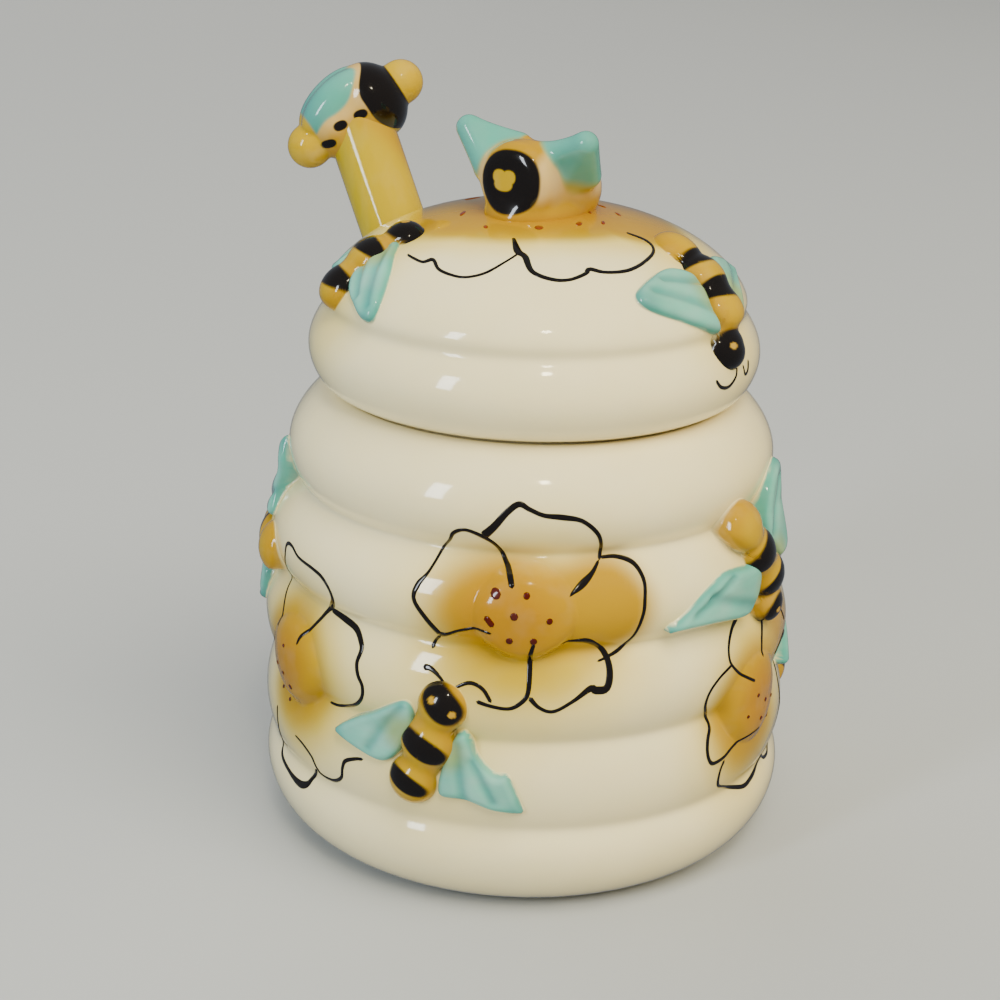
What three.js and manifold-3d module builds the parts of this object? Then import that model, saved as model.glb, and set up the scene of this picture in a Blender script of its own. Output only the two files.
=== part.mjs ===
// Honey pot of glazed earthenware in the shape of a straw beehive, with a lift-off lid and
// a honey dipper that leans through a notch in the lid.
// Millimetres, +Z up. The pot stands on z = 0 with its axis on Z, and the side that carries the
// large flower faces -Y. An azimuth is in degrees round Z from that front, plus towards +X.

import * as THREE from 'three';
import { mergeVertices } from 'three/addons/utils/BufferGeometryUtils.js';
import Module from 'manifold-3d';

const wasm = await Module();
wasm.setup();

// Sizes of the pot. Its wall is five stacked rings, listed from the foot up. A crown is the
// largest radius of a ring and a crease is the radius of the groove that closes it above, as
// shares of the pot's radius. A ring's height is a share of the wall's height.
const footRadius = 44;
const heelHeight = 14;
const potRadius = 57.5;
const potWallHeight = 97.3;
const potRingShares = [
  { height: 0.2086, crown: 1, crease: 0.963 },
  { height: 0.1984, crown: 1, crease: 0.95 },
  { height: 0.2014, crown: 0.998, crease: 0.92 },
  { height: 0.1932, crown: 0.967, crease: 0.852 },
  { height: 0.1984, crown: 0.903, crease: 0.798 },
];
const potWall = 4.5;
const potFloor = 6;
const rimRise = 1.1;
const rimWidth = 4;
const mouthRadius = 40.2;
const mouthChamfer = 1.2;
const neckDepth = 6;

// Sizes of the lid: a seat on the rim, a round lower ring, a shallow groove and a dome. Each
// of its radii follows from the rim that it sits on.
const seatGap = 0.3;
const seatWidth = 3.2;
const lipRise = 0.6;
const lipWidth = 2;
const lidRingSwell = 1.7;
const lidRingHeight = 17.2;
const lidGrooveDepth = 4;
const domeSwell = 0.8;
const domeFootRise = 2.1;
const domeRise = 18.5;
const lidWall = 4;
const flangeDepth = 5.2;
const flangeClearance = 0.8;
const flangeWall = 3.4;

// Sizes of the dipper: a ribbed head, a round stem and the place where it leans. The stem's
// bare length is what shows of it between the lid's groove and the bee.
const dipperLean = 28;
const dipperAzimuth = -132;
const stemRimClearance = 2.96;
const bareStemLength = 36.4;
const stemRadius = 7.5;
const headRadius = 11;
const headTipRadius = 7;
const headLength = 36;
const headShoulder = 5;
const ribCount = 5;
const ribDepth = 2.6;
const notchClearance = 1.25;
const restGap = 0.3;

// Sizes of the moulded bees and flower centres that are luted onto the walls.
const beeLength = 29;
const beeWidth = 10.8;
const beeRelief = 3.6;
const wingLength = 18;
const wingWidth = 15.5;
const wingRelief = 1.6;
const flowerCentreWidth = 21;
const flowerCentreHeight = 20;
const flowerCentreRelief = 2;
const sprigEdge = 0.9;
const luteGap = 0.35;
const sprigSink = 1;

// Sizes of the bee that is the lid's knob and of the bee on top of the dipper.
const knobLength = 22.5;
const knobRadius = 6.8;
const knobHeading = -31;
const knobAxisHeight = 6.9;
const knobFootWidth = 18.5;
const knobFootLength = 26;
const knobWingRootDepth = 3.6;
const knobWingTipWidth = 15.5;
const knobWingTipHeight = 10.5;
const knobWingWidth = 15;
const knobWingThickness = 13.5;
const topBeeLength = 24;
const topBeeRadius = 7.8;
const topBeeHeading = 105;
const topBeeClimb = 34;
const topBeeBallRadius = 4.7;
const topBeeWingLength = 17;
const topBeeWingWidth = 13;
const topBeeWingThickness = 3.6;

// Where each moulded bee and flower centre sits. On the pot a place is an azimuth and a height
// in shares of the five rings, 0 at the foot and 5 at the shoulder. A heading is clockwise from
// straight up, seen from outside, and a sweep is the angle from the head to each wing.
const potFlowerShares = [
  { name: 'front_flower_centre', azimuth: -0.8, ringShare: 3.42 },
  { name: 'right_flower_centre', azimuth: 57, ringShare: 2.02 },
  { name: 'left_flower_centre', azimuth: -58, ringShare: 2.3 },
  { name: 'back_right_flower_centre', azimuth: 122, ringShare: 3.4 },
  { name: 'back_flower_centre', azimuth: 180, ringShare: 2.1 },
  { name: 'back_left_flower_centre', azimuth: -122, ringShare: 3.3 },
];
const potBeeShares = [
  { name: 'front_bee', azimuth: -20.5, ringShare: 1.92, heading: 16, sweep: 112 },
  { name: 'right_bee', azimuth: 56.5, ringShare: 3.56, heading: 152, sweep: 108 },
  { name: 'left_bee', azimuth: -83, ringShare: 3.22, heading: 270, sweep: 105 },
  { name: 'back_right_bee', azimuth: 98, ringShare: 1.85, heading: 25, sweep: 110 },
  { name: 'back_high_bee', azimuth: 159, ringShare: 3.5, heading: 200, sweep: 110 },
  { name: 'back_left_bee', azimuth: -141, ringShare: 1.9, heading: -20, sweep: 110 },
];
// On the lid a place is an azimuth and an angle above the middle of the seat plane.
const lidBeeShares = [
  { name: 'lid_right_bee', azimuth: 57, elevation: 35, heading: 180, sweep: 96 },
  { name: 'lid_left_bee', azimuth: -66, elevation: 38, heading: 0, sweep: 138 },
  { name: 'lid_back_bee', azimuth: 168, elevation: 35, heading: 180, sweep: 96 },
];
// A wing on the lid is this share of a wing on the pot.
const lidWingShare = 0.82;

// How finely round forms are faceted.
const roundSegments = 48;
const stemSegments = 16;
const figureSegments = 14;
const ringSteps = 5;
const heelSteps = 4;
const domeSteps = 7;
const sprigSpokes = 12;
const wingSpokes = 10;

// Colours of the glazes.
const glazes = {
  cream: { color: '#efe6cf', roughness: 0.16 },
  amber: { color: '#f0ab17', roughness: 0.18 },
  teal: { color: '#7fbdb6', roughness: 0.18 },
  yellow: { color: '#f2d313', roughness: 0.14 },
};

const degrees = Math.PI / 180;
const mix = (a, b, t) => a + (b - a) * t;
const sum = (values) => values.reduce((total, value) => total + value, 0);

const potRings = potRingShares.map(({ height, crown, crease }) => ({
  height: height * potWallHeight, crown: crown * potRadius, crease: crease * potRadius,
}));
const shoulderHeight = sum(potRings.map((ring) => ring.height));
const rimHeight = shoulderHeight + rimRise;
const rimOuterRadius = mouthRadius + rimWidth;
const lipRadius = rimOuterRadius + lipWidth;
const lidCrown = lipRadius + lidRingSwell;
const lidGrooveRadius = lidCrown - lidGrooveDepth;
const domeRadius = lidGrooveRadius + domeSwell;
const seatHeight = rimHeight + seatGap;
const lidGrooveHeight = seatHeight + lidRingHeight;
const domeFootHeight = lidGrooveHeight + domeFootRise;
const lidTopHeight = domeFootHeight + domeRise;

// A point at an azimuth (radians), a distance from Z and a height.
function polar(azimuth, radius, height) {
  return new THREE.Vector3(radius * Math.sin(azimuth), -radius * Math.cos(azimuth), height);
}

// A closed solid from a geometry: vertices that share a place are merged, slivers at the poles
// are dropped, and the faces are turned to point outwards.
function solid(geometry) {
  const bare = geometry.clone();
  bare.deleteAttribute('normal');
  bare.deleteAttribute('uv');
  const merged = mergeVertices(bare);
  const place = merged.attributes.position.array;
  const corners = merged.index.array;
  const kept = [];
  let volume = 0;
  for (let i = 0; i < corners.length; i += 3) {
    const [a, b, c] = corners.slice(i, i + 3);
    if (a === b || b === c || c === a) continue;
    kept.push(a, b, c);
    const [p, q, r] = [a, b, c].map((v) => new THREE.Vector3().fromArray(place, 3 * v));
    volume += p.dot(q.cross(r));
  }
  if (volume < 0) kept.reverse();
  return new wasm.Manifold(new wasm.Mesh({
    numProp: 3,
    vertProperties: new Float32Array(place),
    triVerts: new Uint32Array(kept),
  }));
}

// The geometry of a solid, ready for a mesh.
function geometryOf(body) {
  const { vertProperties, triVerts } = body.getMesh();
  const geometry = new THREE.BufferGeometry();
  geometry.setAttribute('position', new THREE.BufferAttribute(vertProperties, 3));
  geometry.setIndex(new THREE.BufferAttribute(triVerts, 1));
  geometry.computeVertexNormals();
  return geometry;
}

// A named piece in one glaze.
function piece(name, body, glaze) {
  const material = new THREE.MeshStandardMaterial({ ...glazes[glaze], metalness: 0 });
  const mesh = new THREE.Mesh(geometryOf(body), material);
  mesh.name = name;
  return mesh;
}

// A profile of [radius, height] pairs turned round Z.
function turned(profile, segments) {
  const points = profile.map(([radius, height]) => new THREE.Vector2(radius, height));
  return new THREE.LatheGeometry(points, segments).rotateX(Math.PI / 2);
}

// Outer profile of the pot's wall, from the foot to the shoulder. The first ring rises from the
// foot in a quarter ellipse; the others swell like half a sine between their two creases.
function potOuterProfile() {
  const profile = [[footRadius, 0]];
  const first = potRings[0];
  for (let i = 1; i <= heelSteps; i++) {
    const turn = (i / heelSteps) * Math.PI / 2;
    profile.push([
      mix(footRadius, first.crown, Math.sin(turn)),
      heelHeight * (1 - Math.cos(turn)),
    ]);
  }
  const closingShares = [0.6, 1];
  for (const t of closingShares) {
    profile.push([mix(first.crown, first.crease, t ** 2), mix(heelHeight, first.height, t)]);
  }
  let base = first.height;
  for (let i = 1; i < potRings.length; i++) {
    const below = potRings[i - 1].crease;
    const { height, crown, crease } = potRings[i];
    for (let step = 1; step <= ringSteps; step++) {
      const t = (1 - Math.cos(Math.PI * step / ringSteps)) / 2;
      const swell = crown - (below + crease) / 2;
      const radius = mix(below, crease, t) + swell * Math.sin(Math.PI * t) ** 0.75;
      profile.push([step === ringSteps ? crease : radius, base + height * t]);
    }
    base += height;
  }
  return profile;
}

// Inner profile of the pot, from the mouth down to the floor: the wall's thickness inside every
// crown and crease.
function potInnerProfile() {
  const profile = [[mouthRadius, rimHeight - mouthChamfer], [mouthRadius, rimHeight - neckDepth]];
  let top = shoulderHeight;
  for (let i = potRings.length - 1; i > 0; i--) {
    const { height, crown } = potRings[i];
    profile.push([crown - potWall, top - height / 2]);
    top -= height;
    profile.push([potRings[i - 1].crease - potWall / 2, top]);
  }
  profile.push([potRings[0].crown - potWall, heelHeight]);
  profile.push([footRadius, potFloor]);
  profile.push([0, potFloor]);
  return profile;
}

const potOutside = potOuterProfile();

function potBody() {
  const rim = [[rimOuterRadius, rimHeight], [mouthRadius + mouthChamfer, rimHeight]];
  return solid(turned([[0, 0], ...potOutside, ...rim, ...potInnerProfile()], roundSegments));
}

// Outer profile of the lid, from the outer edge of its seat to the top of the dome.
function lidOuterProfile() {
  const profile = [[rimOuterRadius, seatHeight], [lipRadius, seatHeight + lipRise]];
  for (let step = 1; step <= ringSteps; step++) {
    const t = step / ringSteps;
    const swell = lidCrown - (lipRadius + lidGrooveRadius) / 2;
    const radius = mix(lipRadius, lidGrooveRadius, t) + swell * Math.sin(Math.PI * t) ** 0.85;
    const height = mix(seatHeight + lipRise, lidGrooveHeight, t);
    profile.push([step === ringSteps ? lidGrooveRadius : radius, height]);
  }
  return profile.concat(domeProfile(0));
}

// The dome as a superellipse, drawn in by a wall where the inside is wanted.
function domeProfile(wall) {
  const profile = [];
  for (let step = 0; step <= domeSteps; step++) {
    const turn = (1 - step / domeSteps) * Math.PI / 2;
    profile.push([
      (domeRadius - wall) * Math.sin(turn) ** 0.833,
      domeFootHeight - wall / 2 + (domeRise - wall / 2) * Math.cos(turn) ** 1.307,
    ]);
  }
  profile[domeSteps][0] = 0;
  return profile;
}

const lidOutside = lidOuterProfile();
const flangeRadius = mouthRadius - flangeClearance;

// The lid's shell: the dome outside, a locating flange below the seat and the hollow inside.
function lidShell() {
  const flangeFoot = seatHeight - flangeDepth;
  const inside = domeProfile(lidWall).reverse();
  return solid(turned([
    ...lidOutside,
    ...inside,
    [lidCrown - lidWall, seatHeight + lidRingHeight / 2],
    [flangeRadius - flangeWall, seatHeight + lidWall / 2],
    [flangeRadius - flangeWall, flangeFoot],
    [flangeRadius, flangeFoot],
    [flangeRadius, seatHeight],
    [rimOuterRadius - seatWidth, seatHeight],
    lidOutside[0],
  ], roundSegments));
}

// The dipper's own frame: Z runs up its stem and the origin is the middle of its round tip,
// which rests just clear of the pot's floor. Everything on the dipper is placed in this frame.
// The tip lies as far beyond the pot's axis as lets the stem clear the rim.
const lean = dipperLean * degrees;
const dipperTipHeight = potFloor + restGap + headTipRadius;
const stemReach = (rimHeight - dipperTipHeight) * Math.tan(lean) + stemRadius / Math.cos(lean);
const dipperTipDistance = stemReach + stemRimClearance - mouthRadius;
const dipperLength = (lidGrooveHeight - dipperTipHeight) / Math.cos(lean) + bareStemLength;
const dipperFrame = new THREE.Matrix4();
{
  const azimuth = dipperAzimuth * degrees;
  const tip = polar(azimuth, -dipperTipDistance, dipperTipHeight);
  const tiltAxis = polar(azimuth + Math.PI / 2, 1, 0);
  const tilt = new THREE.Quaternion().setFromAxisAngle(tiltAxis, lean);
  dipperFrame.compose(tip, tilt, new THREE.Vector3(1, 1, 1));
}

// Half a round slot that opens outwards, swept along the stem: the notch that lets the stem out.
function notchCutter() {
  const radius = stemRadius + notchClearance;
  const outline = new THREE.Shape();
  outline.absarc(0, 0, radius, 0, Math.PI, false);
  outline.lineTo(-radius, -lidCrown);
  outline.lineTo(radius, -lidCrown);
  outline.closePath();
  const sweep = new THREE.ExtrudeGeometry(outline, {
    depth: dipperLength, bevelEnabled: false, curveSegments: figureSegments / 2,
  });
  sweep.rotateZ(dipperAzimuth * degrees);
  return sweep.applyMatrix4(dipperFrame);
}

function lidBody() {
  return lidShell().subtract(solid(notchCutter()));
}

// Radius of a profile of [radius, height] pairs at a height.
function radiusAt(profile, height) {
  const above = Math.max(1, profile.findIndex(([, z]) => z >= height));
  const [r0, z0] = profile[above - 1];
  const [r1, z1] = profile[above];
  return mix(r0, r1, (height - z0) / (z1 - z0));
}

// The straight line that joins the crowns of the rings: what bridges a crease stands on it.
function crownLineAt(height) {
  let base = 0;
  const crowns = potRings.map((ring) => {
    const place = [ring.crown, base + ring.height / 2];
    base += ring.height;
    return place;
  });
  const [lowest, highest] = [potRings[0], potRings[potRings.length - 1]];
  return radiusAt([[lowest.crown, 0], ...crowns, [highest.crease, base]], height);
}

// The room that a wall and the gap round it take up, from a grown outer profile.
function envelopeOf(grown) {
  const foot = grown[0][1];
  const top = grown[grown.length - 1][1];
  return solid(turned([[0, foot], ...grown, [0, top]], roundSegments));
}

// The pot's wall as a surface: a place is an azimuth and a height.
const potSurface = {
  envelope: envelopeOf(potOutside.map(([radius, height]) => [radius + luteGap, height])),
  radius: (height) => radiusAt(potOutside, height),
  along: (height, rise) => height + rise,
  bridge: (height) => Math.max(0, crownLineAt(height) - radiusAt(potOutside, height)),
  point: (azimuth, height, lift) => polar(azimuth, radiusAt(potOutside, height) + lift, height),
};

// The lid's outside as a surface seen from the middle of the seat plane: a place is an azimuth
// and the angle above that plane.
function lidReach(elevation) {
  for (let i = 1; i < lidOutside.length; i++) {
    const a = new THREE.Vector2(lidOutside[i - 1][0], lidOutside[i - 1][1] - seatHeight);
    const b = new THREE.Vector2(lidOutside[i][0], lidOutside[i][1] - seatHeight);
    if (b.angle() >= elevation) {
      const ray = new THREE.Vector2(Math.cos(elevation), Math.sin(elevation));
      const side = b.clone().sub(a);
      return a.cross(side) / ray.cross(side);
    }
  }
  return lidTopHeight - seatHeight;
}
function lidGrown([radius, height]) {
  const spot = new THREE.Vector2(radius, height - seatHeight);
  spot.setLength(spot.length() + luteGap);
  return [spot.x, seatHeight + spot.y];
}
const lidSurface = {
  envelope: envelopeOf(lidOutside.map(lidGrown)),
  radius: (elevation) => lidReach(elevation) * Math.cos(elevation),
  along: (elevation, rise) => elevation + rise / lidReach(elevation),
  bridge: () => 0,
  point: (azimuth, elevation, lift) => {
    const reach = lidReach(elevation) + lift;
    return polar(azimuth, reach * Math.cos(elevation), seatHeight + reach * Math.sin(elevation));
  },
};

// A low relief on a surface. Its outline is [across, up] pairs about the place it is luted to,
// turned by the heading. Rings of vertices shrink the outline to its middle for the domed front.
// The back is sunk under the wall and then cut off along the wall, a lute gap clear of it.
function relief({ surface, azimuth, along, heading, outline, middle, crown, bridging, rings }) {
  const turn = heading * degrees;
  const count = outline.length;
  const vertices = [];
  const addVertex = (share, spoke, front) => {
    const across = mix(middle[0], outline[spoke][0], share);
    const up = mix(middle[1], outline[spoke][1], share);
    const rise = up * Math.cos(turn) - across * Math.sin(turn);
    const drift = up * Math.sin(turn) + across * Math.cos(turn);
    const place = surface.along(along, rise);
    const swell = sprigEdge + (crown - sprigEdge) * (1 - share ** 2) ** 0.6;
    const lift = front ? luteGap + swell + bridging * surface.bridge(place) : -sprigSink;
    vertices.push(...surface.point(azimuth + drift / surface.radius(place), place, lift));
  };
  addVertex(0, 0, true);
  for (let ring = 1; ring <= rings; ring++) {
    for (let spoke = 0; spoke < count; spoke++) addVertex(ring / rings, spoke, true);
  }
  const back = 1 + rings * count;
  for (let spoke = 0; spoke < count; spoke++) addVertex(1, spoke, false);
  addVertex(0, 0, false);
  const triangles = [];
  for (let spoke = 0; spoke < count; spoke++) {
    const next = (spoke + 1) % count;
    triangles.push(0, 1 + spoke, 1 + next);
    for (let ring = 0; ring < rings; ring++) {
      const inner = 1 + ring * count;
      const outer = inner + count;
      triangles.push(inner + spoke, outer + spoke, outer + next);
      triangles.push(inner + spoke, outer + next, inner + next);
    }
    triangles.push(back + count, back + next, back + spoke);
  }
  const geometry = new THREE.BufferGeometry();
  geometry.setAttribute('position', new THREE.Float32BufferAttribute(vertices, 3));
  geometry.setIndex(triangles);
  return solid(geometry).subtract(surface.envelope);
}

// A number raised to a power with its sign kept, for superellipses.
const signedPower = (value, power) => Math.sign(value) * Math.abs(value) ** power;

// Outline of a bee's body, head up, drawn in at the neck.
function beeOutline() {
  const neckShare = 0.45;
  const neckDraw = 0.16;
  return Array.from({ length: sprigSpokes }, (_, i) => {
    const turn = (i / sprigSpokes) * 2 * Math.PI;
    const up = signedPower(Math.cos(turn), 0.85);
    const across = signedPower(Math.sin(turn), 0.85);
    const neck = 1 - neckDraw * Math.exp(-(((up - neckShare) / neckDraw) ** 2));
    return [-across * neck * beeWidth / 2, up * beeLength / 2];
  });
}

// Outline of a wing that points along +across from its root: wide near the bee, blunt at its tip.
const wingShares = [
  [0, 0.3], [0.16, 0.5], [0.5, 0.4], [0.84, 0.2], [1, 0],
  [0.9, -0.2], [0.55, -0.42], [0.18, -0.5], [0, -0.3],
];
function wingOutline(sizeShare) {
  const corners = wingShares.map(([x, y]) => new THREE.Vector3(x * wingLength, y * wingWidth, 0));
  const curve = new THREE.CatmullRomCurve3(corners, true);
  const spots = curve.getSpacedPoints(wingSpokes).slice(0, wingSpokes);
  return spots.map(({ x, y }) => [x * sizeShare, y * sizeShare]).reverse();
}

// The body of a moulded bee and its two wings, on the pot or on the lid. A wing stops short of
// the body's side, so the three pieces lie beside each other with a lute gap between them.
function mouldedBee({ surface, name, azimuth, along, heading, sweep, sizeShare }) {
  const place = { surface, azimuth: azimuth * degrees, along, heading };
  const body = relief({
    ...place, outline: beeOutline(), middle: [0, 0], crown: beeRelief, bridging: 0.8, rings: 3,
  });
  const pieces = [piece(`${name}_body`, body, 'amber')];
  const wingRoot = beeWidth / 2 + luteGap;
  const tilt = (90 - sweep) * degrees;
  for (const [side, hand] of [['left', -1], ['right', 1]]) {
    const placed = ([x, y]) => {
      const across = x * Math.cos(tilt) - y * Math.sin(tilt);
      const up = x * Math.sin(tilt) + y * Math.cos(tilt);
      return [hand * Math.max(wingRoot, wingRoot + across), up];
    };
    const outline = wingOutline(sizeShare).map(placed);
    if (hand < 0) outline.reverse();
    const middleShare = 0.4;
    const wing = relief({
      ...place, outline, middle: placed([wingLength * sizeShare * middleShare, 0]),
      crown: wingRelief, bridging: 0.5, rings: 2,
    });
    pieces.push(piece(`${name}_${side}_wing`, wing, 'teal'));
  }
  return pieces;
}

// Height on the pot of a place given in rings from the foot.
function ringHeight(ringShare) {
  const whole = Math.floor(ringShare);
  const below = sum(potRings.slice(0, whole).map((ring) => ring.height));
  return below + (ringShare - whole) * potRings[whole].height;
}

// The raised centre of a painted flower: an oval mound that bridges the creases under it.
function flowerCentre({ name, azimuth, ringShare }) {
  const outline = Array.from({ length: sprigSpokes }, (_, i) => {
    const turn = (i / sprigSpokes) * 2 * Math.PI;
    return [-Math.sin(turn) * flowerCentreWidth / 2, Math.cos(turn) * flowerCentreHeight / 2];
  });
  const body = relief({
    surface: potSurface, azimuth: azimuth * degrees, along: ringHeight(ringShare), heading: 0,
    outline, middle: [0, 0], crown: flowerCentreRelief, bridging: 0.9, rings: 4,
  });
  return piece(name, body, 'amber');
}

// A round figure along Z from its face at z = 0, from [share of radius, share of length] pairs.
function figure(shares, radius, length, grow) {
  const profile = shares.map(([r, z]) => [r === 0 ? 0 : r * radius + grow, z * length]);
  profile[0][1] -= grow;
  profile[shares.length - 1][1] += grow;
  return turned(profile, figureSegments);
}

// A frame whose Z points along a heading and a climb, both in degrees, from an origin.
function headingFrame(origin, heading, climb) {
  const level = polar(heading * degrees, Math.cos(climb * degrees), 0);
  const forward = level.setZ(Math.sin(climb * degrees));
  const side = new THREE.Vector3(0, 0, 1).cross(forward).normalize();
  const up = forward.clone().cross(side);
  return new THREE.Matrix4().makeBasis(side, up, forward).setPosition(origin);
}

// A thick leaf: a ball drawn out along +X with a blunt tip, thinner and narrower towards it.
function leaf(length, width, thickness) {
  const ball = new THREE.SphereGeometry(1, figureSegments - 2, figureSegments / 2);
  ball.rotateZ(Math.PI / 2);
  const tipShare = 0.3;
  const bluntness = 0.7;
  const spots = ball.attributes.position;
  for (let i = 0; i < spots.count; i++) {
    const [x, y, z] = [spots.getX(i), spots.getY(i), spots.getZ(i)];
    const t = (x + 1) / 2;
    const round = Math.hypot(y, z);
    const taper = round === 0 ? 0 : mix(1, tipShare, t) * round ** (bluntness - 1);
    spots.setXYZ(i, length * t, y * taper * width / 2, z * taper * thickness / 2);
  }
  return ball;
}

// The knob: a bee that stands on the dome, its flat face turned to the front left, with a foot
// that spreads onto the dome and two wings raised like ears.
const knobShares = [
  [0, 0], [0.74, 0.01], [0.94, 0.07], [1, 0.25], [1, 0.55], [0.92, 0.78], [0.66, 0.94], [0, 1],
];
const knobFootShares = [[0, 0], [1, 0], [0.86, 0.5], [0.8, 1], [0, 1]];

function knobTrunk(grow) {
  const heading = knobHeading * degrees;
  const face = polar(heading, knobLength / 2, lidTopHeight + knobAxisHeight);
  const barrel = solid(figure(knobShares, knobRadius, knobLength, grow)
    .applyMatrix4(headingFrame(face, knobHeading + 180, 0)));
  const foot = turned(knobFootShares.map(([r, z]) => [
    r === 0 ? 0 : r * knobFootWidth / 2 + grow,
    z * knobAxisHeight,
  ]), figureSegments);
  foot.scale(1, knobFootLength / knobFootWidth, 1).rotateZ(heading);
  foot.translate(0, 0, lidTopHeight - lidWall / 2);
  return barrel.add(solid(foot));
}

function knobBee() {
  const keepOff = knobTrunk(luteGap).add(lidSurface.envelope);
  const trunk = knobTrunk(0).subtract(lidSurface.envelope);
  const pieces = [piece('knob_bee_body', trunk, 'amber')];
  const root = polar(knobHeading * degrees, knobWingRootDepth, lidTopHeight + knobAxisHeight);
  const across = polar((knobHeading + 180) * degrees, 1, 0);
  for (const [side, hand] of [['left', -1], ['right', 1]]) {
    const out = polar((knobHeading - 90 * hand) * degrees, knobWingTipWidth, knobWingTipHeight);
    const lengthways = out.clone().normalize();
    const normal = lengthways.clone().cross(across);
    const wing = leaf(out.length(), knobWingWidth, knobWingThickness);
    wing.applyMatrix4(new THREE.Matrix4().makeBasis(lengthways, across, normal).setPosition(root));
    pieces.push(piece(`knob_bee_${side}_wing`, solid(wing).subtract(keepOff), 'teal'));
  }
  return pieces;
}

// The dipper's head: ribs and grooves that taper into a round tip and into the stem.
function dipperProfile() {
  const profile = [];
  const tipSteps = 3;
  for (let i = 0; i <= tipSteps; i++) {
    const turn = (i / tipSteps) * Math.PI / 2;
    profile.push([headTipRadius * Math.sin(turn), -headTipRadius * Math.cos(turn)]);
  }
  const [ribFootShare, ribTopShare, grooveShare] = [0.25, 0.6, 0.8];
  const pitch = (headLength - headTipRadius - headShoulder) / ribCount;
  for (let rib = 0; rib < ribCount; rib++) {
    const swell = Math.sin(Math.PI * (rib + 1) / (ribCount + 1)) ** 0.5;
    const radius = mix(headTipRadius, headRadius, swell);
    profile.push([radius, (rib + ribFootShare) * pitch], [radius, (rib + ribTopShare) * pitch]);
    profile.push([radius - ribDepth, (rib + grooveShare) * pitch]);
  }
  profile.push([stemRadius, headLength - headTipRadius]);
  profile.push([stemRadius, dipperLength]);
  profile.push([0, dipperLength]);
  return profile;
}

// Frame of the bee that lies across the top of the stem, its face up and to the right. Its Z
// runs from the face to the tail, and the stem's end is at the middle of its length.
function topBeeFrame() {
  const face = new THREE.Vector3(0, 0, dipperLength).applyMatrix4(dipperFrame);
  const frame = headingFrame(face, topBeeHeading + 180, -topBeeClimb);
  return frame.multiply(new THREE.Matrix4().makeTranslation(0, 0, -topBeeLength / 2));
}

const topBeeShares = [
  [0, -0.04], [0.5, -0.02], [0.84, 0.08], [0.98, 0.26], [1, 0.46], [0.92, 0.7], [0.66, 0.9], [0, 1.02],
];

function topBeeBody(grow) {
  const frame = topBeeFrame();
  const trunk = figure(topBeeShares, topBeeRadius, topBeeLength, grow).applyMatrix4(frame);
  const ball = (along) => {
    const round = new THREE.SphereGeometry(topBeeBallRadius + grow, figureSegments - 2, figureSegments / 2);
    return solid(round.translate(0, 0, along).applyMatrix4(frame));
  };
  return solid(trunk).add(ball(0)).add(ball(topBeeLength));
}

function dipperPieces() {
  const stem = turned(dipperProfile(), stemSegments).applyMatrix4(dipperFrame);
  const barShares = [[0, 0], [1, 0], [1, 1], [0, 1]];
  const stemRoom = figure(barShares, stemRadius, dipperLength, luteGap);
  const bee = topBeeBody(0);
  const beeRoom = topBeeBody(luteGap);
  const keepOff = beeRoom.add(solid(stemRoom.applyMatrix4(dipperFrame)));
  const pieces = [
    piece('dipper', solid(stem).subtract(beeRoom), 'yellow'),
    piece('dipper_bee_body', bee, 'amber'),
  ];
  const lengthways = new THREE.Vector3(0, 0, 1);
  const [rollShare, rootShare] = [0.9, 0.24];
  for (const [side, hand] of [['left', -1], ['right', 1]]) {
    const normal = new THREE.Vector3(hand, rollShare, 0).normalize();
    const across = normal.clone().cross(lengthways);
    const root = normal.clone().multiplyScalar(topBeeRadius).setZ(topBeeLength * rootShare);
    const wing = leaf(topBeeWingLength, topBeeWingWidth, topBeeWingThickness);
    wing.applyMatrix4(new THREE.Matrix4().makeBasis(lengthways, across, normal).setPosition(root));
    const shaped = solid(wing.applyMatrix4(topBeeFrame())).subtract(keepOff);
    pieces.push(piece(`dipper_bee_${side}_wing`, shaped, 'teal'));
  }
  return pieces;
}

const honeyPot = new THREE.Group();
const potGroup = new THREE.Group();
potGroup.add(piece('pot', potBody(), 'cream'));
for (const flower of potFlowerShares) potGroup.add(flowerCentre(flower));
for (const bee of potBeeShares) {
  const along = ringHeight(bee.ringShare);
  potGroup.add(...mouldedBee({ ...bee, surface: potSurface, along, sizeShare: 1 }));
}
const lidGroup = new THREE.Group();
lidGroup.add(piece('lid', lidBody(), 'cream'));
for (const bee of lidBeeShares) {
  const along = bee.elevation * degrees;
  lidGroup.add(...mouldedBee({ ...bee, surface: lidSurface, along, sizeShare: lidWingShare }));
}
lidGroup.add(...knobBee());
const dipperGroup = new THREE.Group();
dipperGroup.add(...dipperPieces());
honeyPot.add(potGroup, lidGroup, dipperGroup);

export default honeyPot;
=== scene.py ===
# %% [markdown]
# # A honey pot in the shape of a straw beehive
# The pot, its lift-off lid and the dipper are three pieces of glazed earthenware. The moulded
# bees, the flower centres and the knob were pressed in small moulds, stuck on with slip while
# the clay was soft, painted under and over the glaze, and fired. This file dresses the solid
# model in those forms and finishes. All sizes are in millimetres and are written to Blender in
# metres.

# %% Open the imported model
import math
import bpy
import numpy as np
from mathutils import Matrix


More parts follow.
